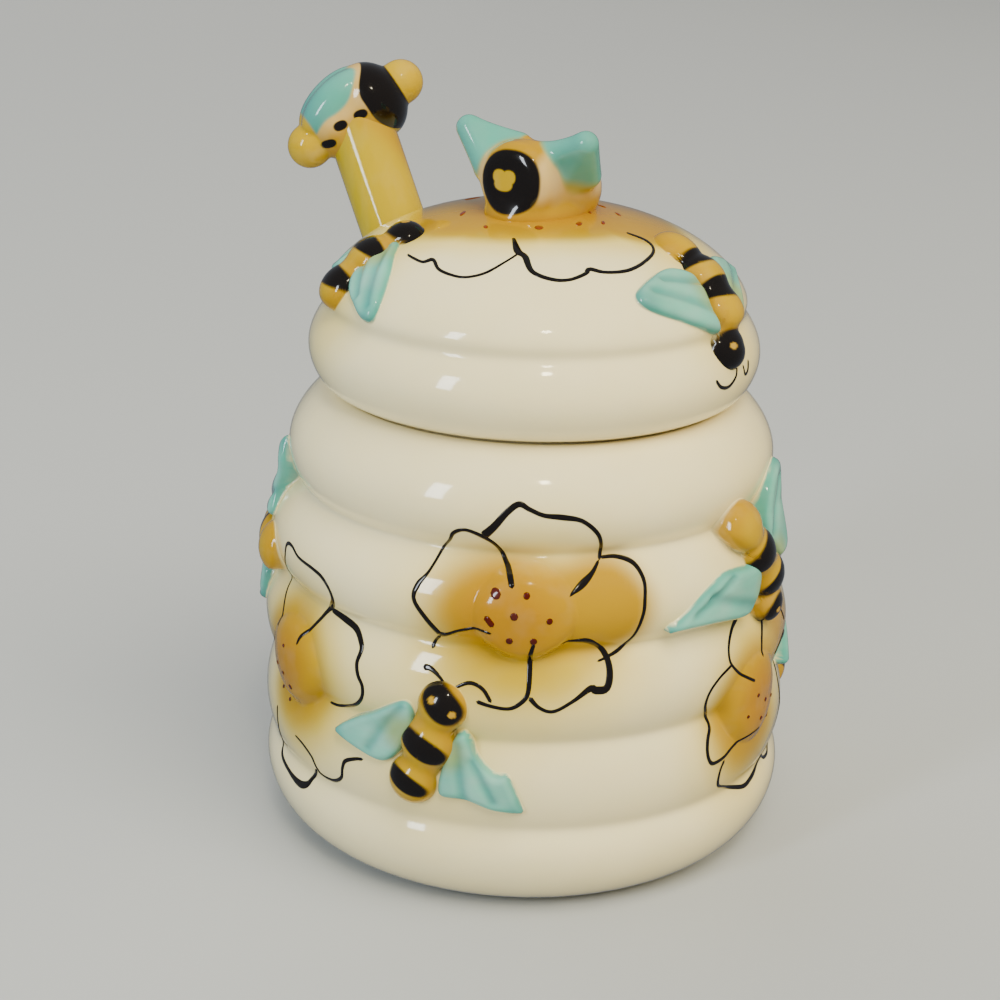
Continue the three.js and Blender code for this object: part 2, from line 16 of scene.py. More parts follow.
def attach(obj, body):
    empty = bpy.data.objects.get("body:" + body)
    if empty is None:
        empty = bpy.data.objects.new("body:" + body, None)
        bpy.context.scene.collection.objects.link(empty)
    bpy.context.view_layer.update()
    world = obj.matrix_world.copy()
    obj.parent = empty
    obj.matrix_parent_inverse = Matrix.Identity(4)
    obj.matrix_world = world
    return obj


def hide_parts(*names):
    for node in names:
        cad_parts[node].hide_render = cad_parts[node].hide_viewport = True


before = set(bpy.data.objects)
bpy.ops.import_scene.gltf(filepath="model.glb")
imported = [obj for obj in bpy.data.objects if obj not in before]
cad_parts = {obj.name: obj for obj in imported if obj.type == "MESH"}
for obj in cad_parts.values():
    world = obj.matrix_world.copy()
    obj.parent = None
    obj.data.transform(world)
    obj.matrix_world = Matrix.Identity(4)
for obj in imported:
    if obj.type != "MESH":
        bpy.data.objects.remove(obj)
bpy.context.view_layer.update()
MM = 0.001
print("nodes in the packed model:", len(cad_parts))

# %% [markdown]
# ## The camera
# The photograph was taken from a little above the table, from the front, with a longish lens.
# The camera stands where lines through known points of the pot meet, so that the same view comes
# out. Its axes are worked out from a heading, a downward pitch and a slight roll.

# %% Camera
EYE = np.array([-4.7, -435.0, 231.0])
YAW, PITCH, ROLL = np.radians([-0.22, 20.2, 1.53])
LENS, SENSOR = 76.25, 36.0
NEAR, FAR = 0.02, 50.0


def set_up(name, data, right, up, back, place):
    """A camera or lamp that is turned to three axes and stands at a place in metres."""
    thing = bpy.data.objects.new(name, data)
    bpy.context.scene.collection.objects.link(thing)
    rows = [[*axis, spot] for axis, spot in zip(np.stack([right, up, back], 1), place)]
    thing.matrix_world = Matrix([*rows, [0, 0, 0, 1]])
    return thing


def photo_camera():
    """A camera that looks along yaw and down by pitch, rolled about its line of sight."""
    ahead = np.array([np.sin(YAW) * np.cos(PITCH), np.cos(YAW) * np.cos(PITCH), -np.sin(PITCH)])
    level = np.array([np.cos(YAW), -np.sin(YAW), 0.0])
    upright = np.cross(level, ahead)
    right = np.cos(ROLL) * level + np.sin(ROLL) * upright
    up = -np.sin(ROLL) * level + np.cos(ROLL) * upright
    data = bpy.data.cameras.new("camera")
    data.lens, data.sensor_width = LENS, SENSOR
    data.clip_start, data.clip_end = NEAR, FAR
    bpy.context.scene.camera = set_up("camera", data, right, up, -ahead, EYE * MM)


photo_camera()
print("camera at", (EYE * MM).round(3), "m")

# %% [markdown]
# ## Small helpers
# Glazed ware has no hard edges, so every form here is a smooth sheet of points. The points go
# once round in columns and from one end to the other in rows, and a single point closes each
# end. One helper turns such a sheet into a mesh that is closed and faces outwards.

# %% Arithmetic on whole arrays


def mix(a, b, t):
    """The value a share t of the way from a to b."""
    return a + (b - a) * t


def ease(low, high, x):
    """0 below low, 1 above high, and an S-curve 3t^2 - 2t^3 between them."""
    t = np.clip((x - low) / (high - low), 0.0, 1.0)
    return t * t * (3 - 2 * t)


def soft_max(a, b, k):
    """The larger of two heights, with the corner between them rounded over about k."""
    return 0.5 * (a + b + np.sqrt((a - b) ** 2 + k * k))


def soft_min(a, b, k):
    """The smaller of two distances, with the corner between them rounded over about k."""
    return -soft_max(-a, -b, k)


def colour(code):
    """A colour written as in a paint chart, as the linear light that Blender mixes."""
    value = np.array([int(code[i:i + 2], 16) for i in (1, 3, 5)]) / 255
    return np.where(value <= 0.04045, value / 12.92, ((value + 0.055) / 1.055) ** 2.4)


def over(base, coat, amount):
    """A coat laid over a base: base + (coat - base) times the amount at each point."""
    return base + (coat - base) * np.asarray(amount)[..., None]


def coated(base, *coats):
    """A base under several coats, laid on in turn. Each coat is a colour and its amount."""
    for coat, amount in coats:
        base = over(base, coat, amount)
    return base


def polar(azimuth, radius, height):
    """Points at an azimuth in degrees from the front, a distance from the axis and a height."""
    turn = np.radians(azimuth)
    return np.stack(np.broadcast_arrays(radius * np.sin(turn), -radius * np.cos(turn), height), -1)


# %% Closed sheets of points


def skin(rows, first, last):
    """Points and faces of a sheet of R rows and C columns, closed round and at both ends.
    Quads join neighbouring rows, and fans of triangles join the end rows to the end points."""
    count, columns = rows.shape[:2]
    points = np.concatenate([[first], rows.reshape(-1, 3), [last]])
    k = np.arange(columns)
    n = (k + 1) % columns
    base = 1 + np.arange(count - 1)[:, None] * columns
    above = base + columns
    quads = np.stack([base + k, base + n, above + n, above + k], -1).reshape(-1, 4)
    end = 1 + (count - 1) * columns
    fans = np.concatenate([np.stack([0 * k, 1 + n, 1 + k], -1),
                           np.stack([0 * k + len(points) - 1, end + k, end + n], -1)])
    corners = np.concatenate([quads[:, :3], quads[:, [0, 2, 3]], fans])
    a, b, c = (points[corners[:, i]] for i in range(3))
    if np.einsum("ij,ij->i", a, np.cross(b, c)).sum() < 0:
        quads, fans = quads[:, ::-1], fans[:, ::-1]
    return points, quads, fans


def tints(paint):
    """Colours for the points of skin(): the end points take the mean of the row beside them."""
    return np.concatenate([[paint[0].mean(0)], paint.reshape(-1, 3), [paint[-1].mean(0)]])


# %% A piece from its sheets


def build(name, sheets, material, body, nodes=()):
    """One mesh object from a list of (points, quads, fans, colours), all of them closed."""
    starts = np.cumsum([0] + [len(s[0]) for s in sheets])[:-1]
    points, colours = (np.concatenate([s[i] for s in sheets]) for i in (0, 3))
    quads, fans = (np.concatenate([s[i] + k for s, k in zip(sheets, starts)]) for i in (1, 2))
    mesh = bpy.data.meshes.new(name)
    mesh.vertices.add(len(points))
    mesh.vertices.foreach_set("co", (points * MM).astype(np.float32).ravel())
    mesh.loops.add(quads.size + fans.size)
    loops = np.concatenate([quads.ravel(), fans.ravel()])
    mesh.loops.foreach_set("vertex_index", loops.astype(np.int32))
    mesh.polygons.add(len(quads) + len(fans))
    begin = np.concatenate([np.arange(len(quads)) * 4, quads.size + np.arange(len(fans)) * 3])
    mesh.polygons.foreach_set("loop_start", begin.astype(np.int32))
    mesh.update(calc_edges=True)
    mesh.validate()
    mesh.shade_smooth()
    dye(mesh, colours)
    mesh.materials.append(material)
    piece = bpy.data.objects.new(name, mesh)
    bpy.context.scene.collection.objects.link(piece)
    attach(piece, body)
    if nodes:
        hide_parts(*nodes)
    return piece


def dye(mesh, colours):
    """Writes one colour for each point of a mesh as the attribute that the glazes read."""
    layer = mesh.color_attributes.new("paint", "FLOAT_COLOR", "POINT")
    full = np.ones((len(mesh.vertices), 4), np.float32)
    full[:, :3] = np.clip(colours, 0.0, 1.0)
    layer.data.foreach_set("color", full.ravel())


# %% [markdown]
# ## The glazes
# The ware is dipped in a clear, glassy glaze over painted colour. So each finish is one shader:
# the painted colour comes from the mesh, a slow noise makes it uneven as a brush or an airbrush
# leaves it, a fine noise roughens the shine a little, and two bumps give the waves and the
# faint orange peel of fired glaze. A clear coat carries the sharp highlights.

# %% Glaze shaders
# Each noise: how often it repeats in a metre, and how many finer layers it has.
DRIFT, BLOTCHES, SHINE = (70.0, 3.0), (160.0, 2.0), (420.0, 4.0)
WAVES, PEEL = (95.0, 1.0), (900.0, 2.0)
# Noise mostly stays between these two values. They are spread over the range that is wanted.
NOISE_LOW, NOISE_HIGH = 0.3, 0.7
# Depths of the two bumps in metres, and how strong the orange peel is.
WAVE_DEPTH, PEEL_DEPTH, PEEL_STRENGTH = 0.0006, 0.0001, 0.05
# By what share the roughness drifts, and the settings that every glaze has in common.
SHINE_DRIFT = 0.3
GLASSY = {"Specular IOR Level": 0.1, "Coat Weight": 1.0, "Coat Roughness": 0.06, "Coat IOR": 1.42,
          "IOR": 1.5}


def glaze(name, roughness, uneven, wave, streak=(1.0, 1.0, 1.0)):
    """A glassy glaze. uneven is how far the colour drifts, wave how strong the ripples are, and
    streak stretches the brush marks along the object's axes."""
    material = bpy.data.materials.new(name)
    material.use_nodes = True
    nodes, links = material.node_tree.nodes, material.node_tree.links
    shader = nodes["Principled BSDF"]

    def add(kind, output, settings, **sources):
        """A node with its settings, and a source linked to each socket that is named."""
        node = nodes.new("ShaderNode" + kind)
        for socket, value in settings.items():
            node.inputs[socket].default_value = value
        for socket, source in sources.items():
            links.new(source, node.inputs[socket])
        return node.outputs[output]

    def noise(grain, source):
        """Noise of one grain over the points of a source."""
        scale, detail = grain
        return add("TexNoise", "Fac", {"Scale": scale, "Detail": detail}, Vector=source)

    def spread(source, middle, share):
        """Noise spread over a middle value, up to a share of it less or more."""
        ends = {"From Min": NOISE_LOW, "From Max": NOISE_HIGH,
                "To Min": (1 - share) * middle, "To Max": (1 + share) * middle}
        return add("MapRange", "Result", ends, Value=source)

    place = add("TexCoord", "Object", {})
    brushed = add("Mapping", "Vector", {"Scale": streak}, Vector=place)
    paint = nodes.new("ShaderNodeAttribute")
    paint.attribute_name = "paint"
    tone = add("HueSaturation", "Color", {}, Color=paint.outputs["Color"],
               Value=spread(noise(DRIFT, brushed), 1, uneven),
               Saturation=spread(noise(BLOTCHES, brushed), 1, uneven))
    shine = spread(noise(SHINE, place), roughness, SHINE_DRIFT)
    ripple = add("Bump", "Normal", {"Strength": wave, "Distance": WAVE_DEPTH},
                 Height=noise(WAVES, place))
    peel = add("Bump", "Normal", {"Strength": PEEL_STRENGTH, "Distance": PEEL_DEPTH},
               Height=noise(PEEL, place), Normal=ripple)
    finish = {"Base Color": tone, "Roughness": shine, "Normal": peel, "Coat Normal": ripple}
    for socket, source in finish.items():
        links.new(source, shader.inputs[socket])
    for socket, value in GLASSY.items():
        shader.inputs[socket].default_value = value
    return material


# %% The glazes and the colours
CREAM_GLAZE = glaze("cream_glaze", 0.16, 0.02, 0.10)
AMBER_GLAZE = glaze("amber_glaze", 0.18, 0.06, 0.14)
TEAL_GLAZE = glaze("teal_glaze", 0.17, 0.09, 0.16, (1.0, 1.0, 2.2))
YELLOW_GLAZE = glaze("yellow_glaze", 0.14, 0.05, 0.10, (1.6, 1.6, 0.5))
LINE_GLAZE = glaze("line_glaze", 0.20, 0.10, 0.05)

CREAM = colour("#f4e5b2")
CHALK = colour("#e9e0cb")
AMBER = colour("#b28700")
ORANGE = colour("#ac6d00")
SUNNY = colour("#be9b00")
STRAW = colour("#e9cc50")
TEAL = colour("#59a595")
DEEP_TEAL = colour("#3a8783")
PALE_TEAL = colour("#8fcbb6")
OLIVE = colour("#a09c2c")
BLACK = colour("#120e0c")
BROWN = colour("#4d1607")
RUST = colour("#7a3008")
GOLD = colour("#b88e1c")
BUTTER = colour("#bf9c10")
PEACH = colour("#d2b06c")
LEMON = colour("#b89f00")
print("glazes:", [m.name for m in bpy.data.materials if m.name.endswith("_glaze")])

# %% [markdown]
# ## Walls as profiles
# A potter throws or casts these walls round an axis, so a wall is a profile: radius and height
# along its length. Each ring of the hive swells like half a sine wave between two creases. The
# profile is averaged with a small bell curve, because slip and glaze round every corner.

# %% A wall that things can be placed on


class Wall:
    """A turned wall. Its profile is [radius, height] in steps of a quarter millimetre, averaged
    with a bell curve. A place on it is an azimuth and a distance along the profile. hand is 1 if
    the profile climbs its outer side and -1 if it comes down it."""

    def __init__(self, profile, spread, hand=1, step=0.25):
        profile = np.asarray(profile, float)
        length = np.concatenate([[0], np.cumsum(np.hypot(*np.diff(profile, axis=0).T))])
        self.s = np.linspace(0, length[-1], int(length[-1] / step))
        r, z = (np.interp(self.s, length, profile[:, i]) for i in (0, 1))
        reach = int(4 * spread / step)
        bell = np.exp(-0.5 * (np.arange(-reach, reach + 1) * step / spread) ** 2)
        bell /= bell.sum()
        # Beyond an end on the axis the profile goes on as its mirror image.
        r = np.concatenate([-r[reach:0:-1], r, -r[-2:-reach - 2:-1]])
        z = np.concatenate([z[reach:0:-1], z, z[-2:-reach - 2:-1]])
        self.r, self.z = (np.convolve(v, bell, "valid") for v in (r, z))
        dr, dz = np.gradient(self.r, self.s), np.gradient(self.z, self.s)
        size = np.hypot(dr, dz)
        self.nr, self.nz = hand * dz / size, -hand * dr / size

    def at(self, s):
        """Radius, height and the two parts of the outward normal at a distance along."""
        return (np.interp(s, self.s, v) for v in (self.r, self.z, self.nr, self.nz))

    def point(self, azimuth, s, lift=0.0):
        """Points that stand lift above the wall, along its normal."""
        r, z, nr, nz = self.at(s)
        return polar(azimuth, r + nr * lift, z + nz * lift)


# %% Pot profile
FOOT_RADIUS, HEEL_HEIGHT = 44.0, 14.0
FOOT_RING = [[0, 1.3], [37.0, 1.3], [38.5, 0.1], [43.0, 0.0]]
POT_RADIUS, POT_WALL_HEIGHT = 57.5, 97.3
# For each ring: its height, its crown and the crease over it, as shares of the two sizes above.
RING_SHARES = np.array([[0.2086, 1.0, 0.963], [0.1984, 1.0, 0.95], [0.2014, 0.998, 0.92],
                        [0.1932, 0.967, 0.852], [0.1984, 0.903, 0.784]])
RINGS = RING_SHARES * [POT_WALL_HEIGHT, POT_RADIUS, POT_RADIUS]
SHOULDER = RINGS[:, 0].sum()
RIM = SHOULDER + 1.1
SEAT = RIM + 0.3
POT_WALL, POT_FLOOR, MOUTH_RADIUS, RIM_RADIUS = 4.5, 6.0, 40.2, 42.6
RIM_ROUND, MOUTH_DEPTH = 1.2, 6.0
# The height at which each ring starts, and the shoulder over the last one.
BASES = np.concatenate([[0], np.cumsum(RINGS[:, 0])])


def pot_profile():
    """Foot, heel as a quarter ellipse, rings as r = mix(below, above, t) + swell * sin(pi t)^3/4,
    rim, then the inside down to the middle of the floor."""
    t = np.linspace(0, 1, 40)[:, None]
    heel = np.hstack([mix(FOOT_RADIUS, POT_RADIUS, np.sin(t * np.pi / 2)),
                      HEEL_HEIGHT * (1 - np.cos(t * np.pi / 2))])
    close = np.hstack([mix(POT_RADIUS, RINGS[0, 2], t ** 2), mix(HEEL_HEIGHT, RINGS[0, 0], t)])
    parts = [FOOT_RING, heel, close]
    for i in range(1, len(RINGS)):
        height, crown, crease = RINGS[i]
        below = RINGS[i - 1, 2]
        swell = (crown - (below + crease) / 2) * np.sin(np.pi * t) ** 0.75
        parts.append(np.hstack([mix(below, crease, t) + swell, BASES[i] + height * t]))
    parts.append([[RIM_RADIUS, RIM], [MOUTH_RADIUS + RIM_ROUND, RIM],
                  [MOUTH_RADIUS, RIM - RIM_ROUND], [MOUTH_RADIUS, RIM - MOUTH_DEPTH]])
    for i in range(len(RINGS) - 1, 0, -1):
        parts.append([[RINGS[i, 1] - POT_WALL, BASES[i] + RINGS[i, 0] / 2],
                      [RINGS[i - 1, 2] - POT_WALL / 2 - 1, BASES[i]]])
    parts.append([[RINGS[0, 1] - POT_WALL, HEEL_HEIGHT], [FOOT_RADIUS, POT_FLOOR], [0, POT_FLOOR]])
    return np.concatenate([np.asarray(p, float) for p in parts])


PROFILE_ROUND = 0.9
POT = Wall(pot_profile(), PROFILE_ROUND)
print("pot profile is", POT.s[-1].round(1), "mm long, widest", POT.r.max().round(2))

# %% Lid profile
LIP_RADIUS, LID_CROWN, GROOVE_RADIUS, DOME_RADIUS = 45.2, 47.9, 43.9, 44.7
LIP = SEAT + 1.4
GROOVE = SEAT + 17.2
DOME_FOOT = GROOVE + 2.1
DOME_RISE, LID_WALL = 18.5, 4.0
LID_TOP = DOME_FOOT + DOME_RISE
FLANGE_RADIUS, FLANGE_INSIDE, FLANGE_DROP = 39.4, 36.0, 5.2
RING_INSIDE = [43.9, SEAT + 8.6]


def dome(wall, steps):
    """A superellipse: r = radius * sin^0.833, z = foot + rise * cos^1.307, drawn in by a wall."""
    turn = np.linspace(np.pi / 2, 0, steps)
    return np.stack([(DOME_RADIUS - wall) * np.sin(turn) ** 0.833,
                     DOME_FOOT - wall / 2 + (DOME_RISE - wall / 2) * np.cos(turn) ** 1.307], 1)


def lid_profile():
    """From the middle of the dome down its outside to the lip, under the seat, round the flange
    that drops into the mouth, and up the inside of the dome to its middle."""
    t = np.linspace(1, 0, 60)[:, None]
    swell = (LID_CROWN - (LIP_RADIUS + GROOVE_RADIUS) / 2) * np.sin(np.pi * t) ** 0.85
    ring = np.hstack([mix(LIP_RADIUS, GROOVE_RADIUS, t) + swell, mix(LIP, GROOVE, t)])
    under = [[RIM_RADIUS, SEAT], [41.0, SEAT], [FLANGE_RADIUS, SEAT],
             [FLANGE_RADIUS, SEAT - FLANGE_DROP], [FLANGE_INSIDE, SEAT - FLANGE_DROP],
             [FLANGE_INSIDE, SEAT + 2.0], RING_INSIDE]
    return np.concatenate([dome(0.0, 90)[::-1], ring, under, dome(LID_WALL, 40)])


LID = Wall(lid_profile(), PROFILE_ROUND, hand=-1)


def lid_along(radius):
    """Distance along the lid's outside at a distance from the axis, on the dome."""
    edge = int(np.argmax(LID.z < DOME_FOOT + 1))
    return np.interp(radius, LID.r[:edge], LID.s[:edge])


print("lid profile is", LID.s[-1].round(1), "mm long")

# %% [markdown]
# ## The painted ground
# The flowers are sprayed with amber before they are outlined, and a paler yellow haze hangs
# round the flowers and bees. A soft spot is an ellipse in millimetres about a place, full in its
# middle and fading over its edge. The wall and everything stuck to it ask one function for the
# ground colour, so no seam shows where a bee ends and the wall begins.

# %% Soft spots of airbrushed colour
# Each spot: millimetres across and up from the flower's middle, half width, half height, how
# soft its edge is as a share, strength and colour.
FRONT_SPOTS = [(1, -4, 25, 20, 0.6, 0.8, STRAW), (-2, -9, 17, 8.5, 0.6, 0.9, SUNNY),
               (16, 1, 11, 10, 0.35, 1.0, AMBER), (-4, 1, 16, 10, 0.45, 1.0, AMBER),
               (4, 0, 18, 8.5, 0.3, 1.0, AMBER), (-4, 0, 10, 8, 0.6, 0.5, ORANGE)]
SIDE_SPOTS = [(1, -2, 19, 20, 0.6, 0.8, STRAW), (0, -2, 14, 15, 0.5, 1.0, SUNNY),
              (-1, -1, 12, 13, 0.35, 1.0, AMBER), (0, 0, 6, 7, 0.5, 0.5, ORANGE)]
RIGHT_SPOTS = [*SIDE_SPOTS, (17, 13, 10, 8, 0.5, 0.9, AMBER)]
# Each flower: its azimuth and height, and the spots that it is sprayed with.
FLOWERS = {"front": ((-0.8, 67.1), FRONT_SPOTS), "right": ((57.0, 40.0), RIGHT_SPOTS),
           "left": ((-58.0, 45.2), SIDE_SPOTS), "back_right": ((122.0, 66.7), FRONT_SPOTS),
           "back": ((180.0, 41.6), SIDE_SPOTS), "back_left": ((-122.0, 64.8), FRONT_SPOTS)}
# Each bee: its azimuth and height, and how many degrees it is turned clockwise.
POT_BEES = {"front_bee": (-20.5, 38.0, 16), "right_bee": (62.5, 67.6, 152),
            "left_bee": (-90.0, 62.9, 268), "back_right_bee": (104.0, 36.7, 25),
            "back_high_bee": (159.0, 68.6, 200), "back_left_bee": (-141.0, 37.7, -20)}
BEE_HAZE = [(0, 0, 17, 17, 0.8, 0.42, STRAW)]
print("sprayed flowers:", len(FLOWERS))

# %% The ground of the pot


def turned_by(azimuth, middle):
    """Degrees from one azimuth to another, the short way round."""
    return (azimuth - middle + 180) % 360 - 180


def sprayed(ground, azimuth, height, radius, middle, spots):
    """Lays soft spots over a ground. q is the distance from a spot's middle in half sizes, and
    the amount falls from full at q = 1 - soft to none at q = 1 + soft."""
    x = np.radians(turned_by(azimuth, middle[0])) * radius
    y = height - middle[1]
    for across, up, wide, tall, soft, strength, coat in spots:
        q = np.hypot((x - across) / wide, (y - up) / tall)
        ground = over(ground, coat, strength * (1 - ease(1 - soft, 1 + soft, q)))
    return ground


def pot_ground(azimuth, height):
    """Ground colour of the pot's outside at an azimuth and a height."""
    azimuth, height = np.broadcast_arrays(azimuth, height)
    ground = np.broadcast_to(CREAM, (*azimuth.shape, 3))
    for middle in POT_BEES.values():
        ground = sprayed(ground, azimuth, height, POT_RADIUS, middle, BEE_HAZE)
    for middle, spots in FLOWERS.values():
        ground = sprayed(ground, azimuth, height, POT_RADIUS, middle, spots)
    return ground


# %% The ground of the lid
# Each bee: its azimuth, its elevation in degrees from the middle of the lid's seat, and its turn.
LID_BEES = {"lid_right_bee": (61.5, 31.8, 192), "lid_left_bee": (-70.0, 38.0, 0),
            "lid_back_bee": (168.0, 35.0, 180)}
# The amber's edge on the lid: azimuth and distance from the axis.
AMBER_EDGES = np.array([[-180, 24.0], [-120, 27.0], [-69, 28.5], [-54, 27.0], [-40, 24.4],
                        [-19, 23.1], [1, 21.7], [22, 22.0], [44, 22.5], [58, 28.5], [68, 31.0],
                        [84, 31.0], [120, 27.0], [180, 24.0]])


def lid_ground(azimuth, radius, height):
    """Ground colour of the lid: amber round the knob out to an uneven edge, orange near the
    knob's foot, and a haze round the bees."""
    azimuth, radius, height = np.broadcast_arrays(azimuth, radius, height)
    ground = np.broadcast_to(CREAM, (*azimuth.shape, 3))
    for middle, _, _ in LID_BEES.values():
        away = np.hypot(np.radians(turned_by(azimuth, middle)) * radius, 0.7 * (height - 122))
        ground = over(ground, STRAW, 0.5 * (1 - ease(4, 20, away)))
    edge = np.interp(azimuth, *AMBER_EDGES.T)
    up = ease(117.5, 119, height)
    past = radius - edge
    return coated(ground, (STRAW, 0.7 * up * (1 - ease(0, 9, past))),
                  (SUNNY, up * (1 - ease(-2, 2.6, past))), (AMBER, up * (1 - ease(-5, 0.5, past))),
                  (ORANGE, 0.5 * up * (1 - ease(8, 20, radius))))


print("amber on the lid reaches", AMBER_EDGES[:, 1].max(), "mm from the axis")

# %% [markdown]
# ## The pot
# The real pot is cast in a plaster mould and its foot is wiped clean so that it doesn't stick
# to the kiln shelf. The profile is turned round the axis on a fine grid: fine enough for the
# sprayed colour to sit on the points themselves.

# %% Turn the pot
COLUMNS = 288
# The sprayed side starts over this height. The wiped foot is inside this radius and height.
SIDE_FOOT, WIPED_RADIUS, WIPED_HEIGHT = 0.4, 43.6, 1.5


def steps(marks):
    """Distances along a profile from (start, end, step) marks, each stretch evenly divided."""
    parts = [np.arange(int(np.ceil((b - a) / step))) * (b - a) / np.ceil((b - a) / step) + a
             for a, b, step in marks]
    return np.concatenate(parts)


def turn(wall, s, columns):
    """Rows of points round the axis at each distance along the profile."""
    azimuth = np.arange(columns) * 360 / columns - 180
    return azimuth[None, :] + 0 * s[:, None], wall.point(azimuth[None, :], s[:, None])


# Coarse under the foot, fine on the sprayed side and over the rim, coarse again inside.
outer_end = POT.s[int(np.argmax(POT.z))]
s = steps([(3.0, 36.0, 3.0), (36.0, 50.0, 0.7), (50.0, outer_end - 1, 0.52),
           (outer_end - 1, outer_end + 9, 0.6), (outer_end + 9, POT.s[-1] - 2.0, 2.2)])
azimuth, rows = turn(POT, s, COLUMNS)
height = rows[..., 2]
outside = (s < outer_end)[:, None] & (height > SIDE_FOOT)
paint = np.where(outside[..., None], pot_ground(azimuth, height), CREAM)
wiped = (s < POT.s[np.argmax(POT.r > WIPED_RADIUS)])[:, None] & (height < WIPED_HEIGHT)
sheet = (*skin(rows, [0, 0, POT.z[0]], [0, 0, POT.z[-1]]), tints(over(paint, CHALK, wiped)))
build("glazed_pot", [sheet], CREAM_GLAZE, "pot", ["pot"])
print("pot grid:", rows.shape[:2])

# %% [markdown]
# ## The lid
# The lid is cast too, and its notch is cut with a wire while the clay is leather hard, so that
# the dipper's stem can lean out. Here a round slot, open outwards and swept along the stem, is
# cut out of the turned lid by a modifier that takes one shape away from another, and the
# colours are laid on afterwards.

# %% The dipper's frame, which the notch follows
TIP = np.array([12.26, -11.04, 13.3])
STEM = np.array([-0.34888, 0.31414, 0.88295])
STEM_SIDE = np.cross([0, 0, 1], STEM) / np.hypot(*STEM[:2])
STEM_FRONT = np.cross(STEM, STEM_SIDE)
STEM_RADIUS, STEM_LENGTH, NOTCH_RADIUS = 7.5, 152.6, 8.75
NOTCH_REACH, NOTCH_ENDS = 60.0, [70.0, 145.0]


def on_stem(x, y, z):
    """Points given in the dipper's frame: x sideways, y towards the front of its lean, z up it."""
    x, y, z = (np.asarray(v, float)[..., None] for v in (x, y, z))
    return TIP + x * STEM_SIDE + y * STEM_FRONT + z * STEM


def slot_cutter():
    """A bar whose section is half a circle on the inner side and straight walls outwards."""
    arc = np.linspace(0, np.pi, 25)
    x = np.concatenate([NOTCH_RADIUS * np.cos(arc), [-NOTCH_RADIUS, NOTCH_RADIUS]])
    y = np.concatenate([NOTCH_RADIUS * np.sin(arc), [-NOTCH_REACH, -NOTCH_REACH]])
    z = np.array(NOTCH_ENDS)[:, None]
    rows = on_stem(x + 0 * z, y + 0 * z, z + 0 * x)
    return skin(rows, rows[0].mean(0), rows[1].mean(0))


# %% Turn and cut the lid
# Edges sharper than this many degrees stay crisp, and paint reaches this deep into the wall.
SHARP_EDGE, PAINT_DEPTH = 40, 2.0
lid_edge = LID.s[int(np.argmax(LID.z < SEAT + 0.15))]
s = steps([(0.8, lid_edge, 0.52), (lid_edge, lid_edge + 28, 0.8),
           (lid_edge + 28, LID.s[-1] - 1.0, 1.8)])
azimuth, rows = turn(LID, s, COLUMNS)
ends = [0, 0, LID.z[0]], [0, 0, LID.z[-1]]
lid = build("glazed_lid", [(*skin(rows, *ends), np.zeros((rows[..., 0].size + 2, 3)))],
            CREAM_GLAZE, "lid", ["lid"])
bar = slot_cutter()
cutter = build("slot_cutter", [(*bar, 0 * bar[0])], CREAM_GLAZE, "lid")
cut = lid.modifiers.new("notch", "BOOLEAN")
cut.operation, cut.object, cut.solver = "DIFFERENCE", cutter, "EXACT"
bpy.context.view_layer.update()
carved = bpy.data.meshes.new_from_object(lid.evaluated_get(bpy.context.evaluated_depsgraph_get()))
lid.modifiers.clear()
lid.data = carved
bpy.data.objects.remove(cutter)
carved.color_attributes.remove(carved.color_attributes["paint"])
carved.shade_smooth()
carved.set_sharp_from_angle(angle=math.radians(SHARP_EDGE))
points = np.empty(len(carved.vertices) * 3, np.float32)
carved.vertices.foreach_get("co", points)
x, y, z = (points.reshape(-1, 3) / MM).T.astype(float)
azimuth, radius = np.degrees(np.arctan2(x, -y)), np.hypot(x, y)
edge = int(np.argmax(LID.z < SEAT + 0.3))
skin_radius = np.interp(-z, -LID.z[:edge], LID.r[:edge])
outside = (radius > skin_radius - PAINT_DEPTH) & (z > SEAT + 0.3) | (z > LID_TOP - PAINT_DEPTH)
dye(carved, np.where(outside[:, None], lid_ground(azimuth, radius, z), CREAM))
print("lid has", len(carved.vertices), "points after the notch is cut")

# %% [markdown]
# ## Moulded reliefs
# A press-moulded bee lies on the wall like a low hill. Its height above the wall is a function
# of millimetres across and up, the wall is bridged where a crease passes under it, and the slip
# at its edge makes a small fillet. Each relief is a fan of spokes from its middle out to where
# the hill runs out, so the points are densest where the shape is.

# %% The two grounds that things are stuck on
HEEL_DEPTH, SOFT_ROUND = 12.5, 3.5
POT_SIDE_END = int(np.argmax(POT.z))
POT_SIDE_START = int(np.argmax(POT.r > POT.r[:POT_SIDE_END].max() - HEEL_DEPTH))


def pot_radius(height):
    """Radius of the pot's outside at a height."""
    side = slice(POT_SIDE_START, POT_SIDE_END)
    return np.interp(height, POT.z[side], POT.r[side])


def crown_gap(height):
    """How far the pot's side lies below the straight line that joins the crowns of its rings."""
    crowns = BASES[:-1] + RINGS[:, 0] / 2
    line = np.interp(height, [0, *crowns, SHOULDER], [POT_RADIUS, *RINGS[:, 1], RINGS[-1, 2]])
    return np.clip(line - pot_radius(height), 0, None)


class Ground:
    """A wall to place things on. A place is an azimuth and t: the height on the pot, the distance
    along the profile on the lid. point gives the point that stands a lift above the place, radius
    the distance from the axis, rise the change of t for a millimetre up, gap the depth of a
    crease and tone the sprayed colour."""

    def __init__(self, point, radius, rise, gap, tone):
        self.point, self.radius, self.rise, self.gap, self.tone = point, radius, rise, gap, tone

    def places(self, azimuth, t, heading, x, y):
        """Places of points x across and y up, turned clockwise by the heading. Up runs towards
        the rim on the pot and towards the knob on the lid."""
        turn = math.radians(heading)
        t = t + self.rise * (y * math.cos(turn) - x * math.sin(turn))
        drift = y * math.sin(turn) + x * math.cos(turn)
        return azimuth + np.degrees(drift / self.radius(t)), t


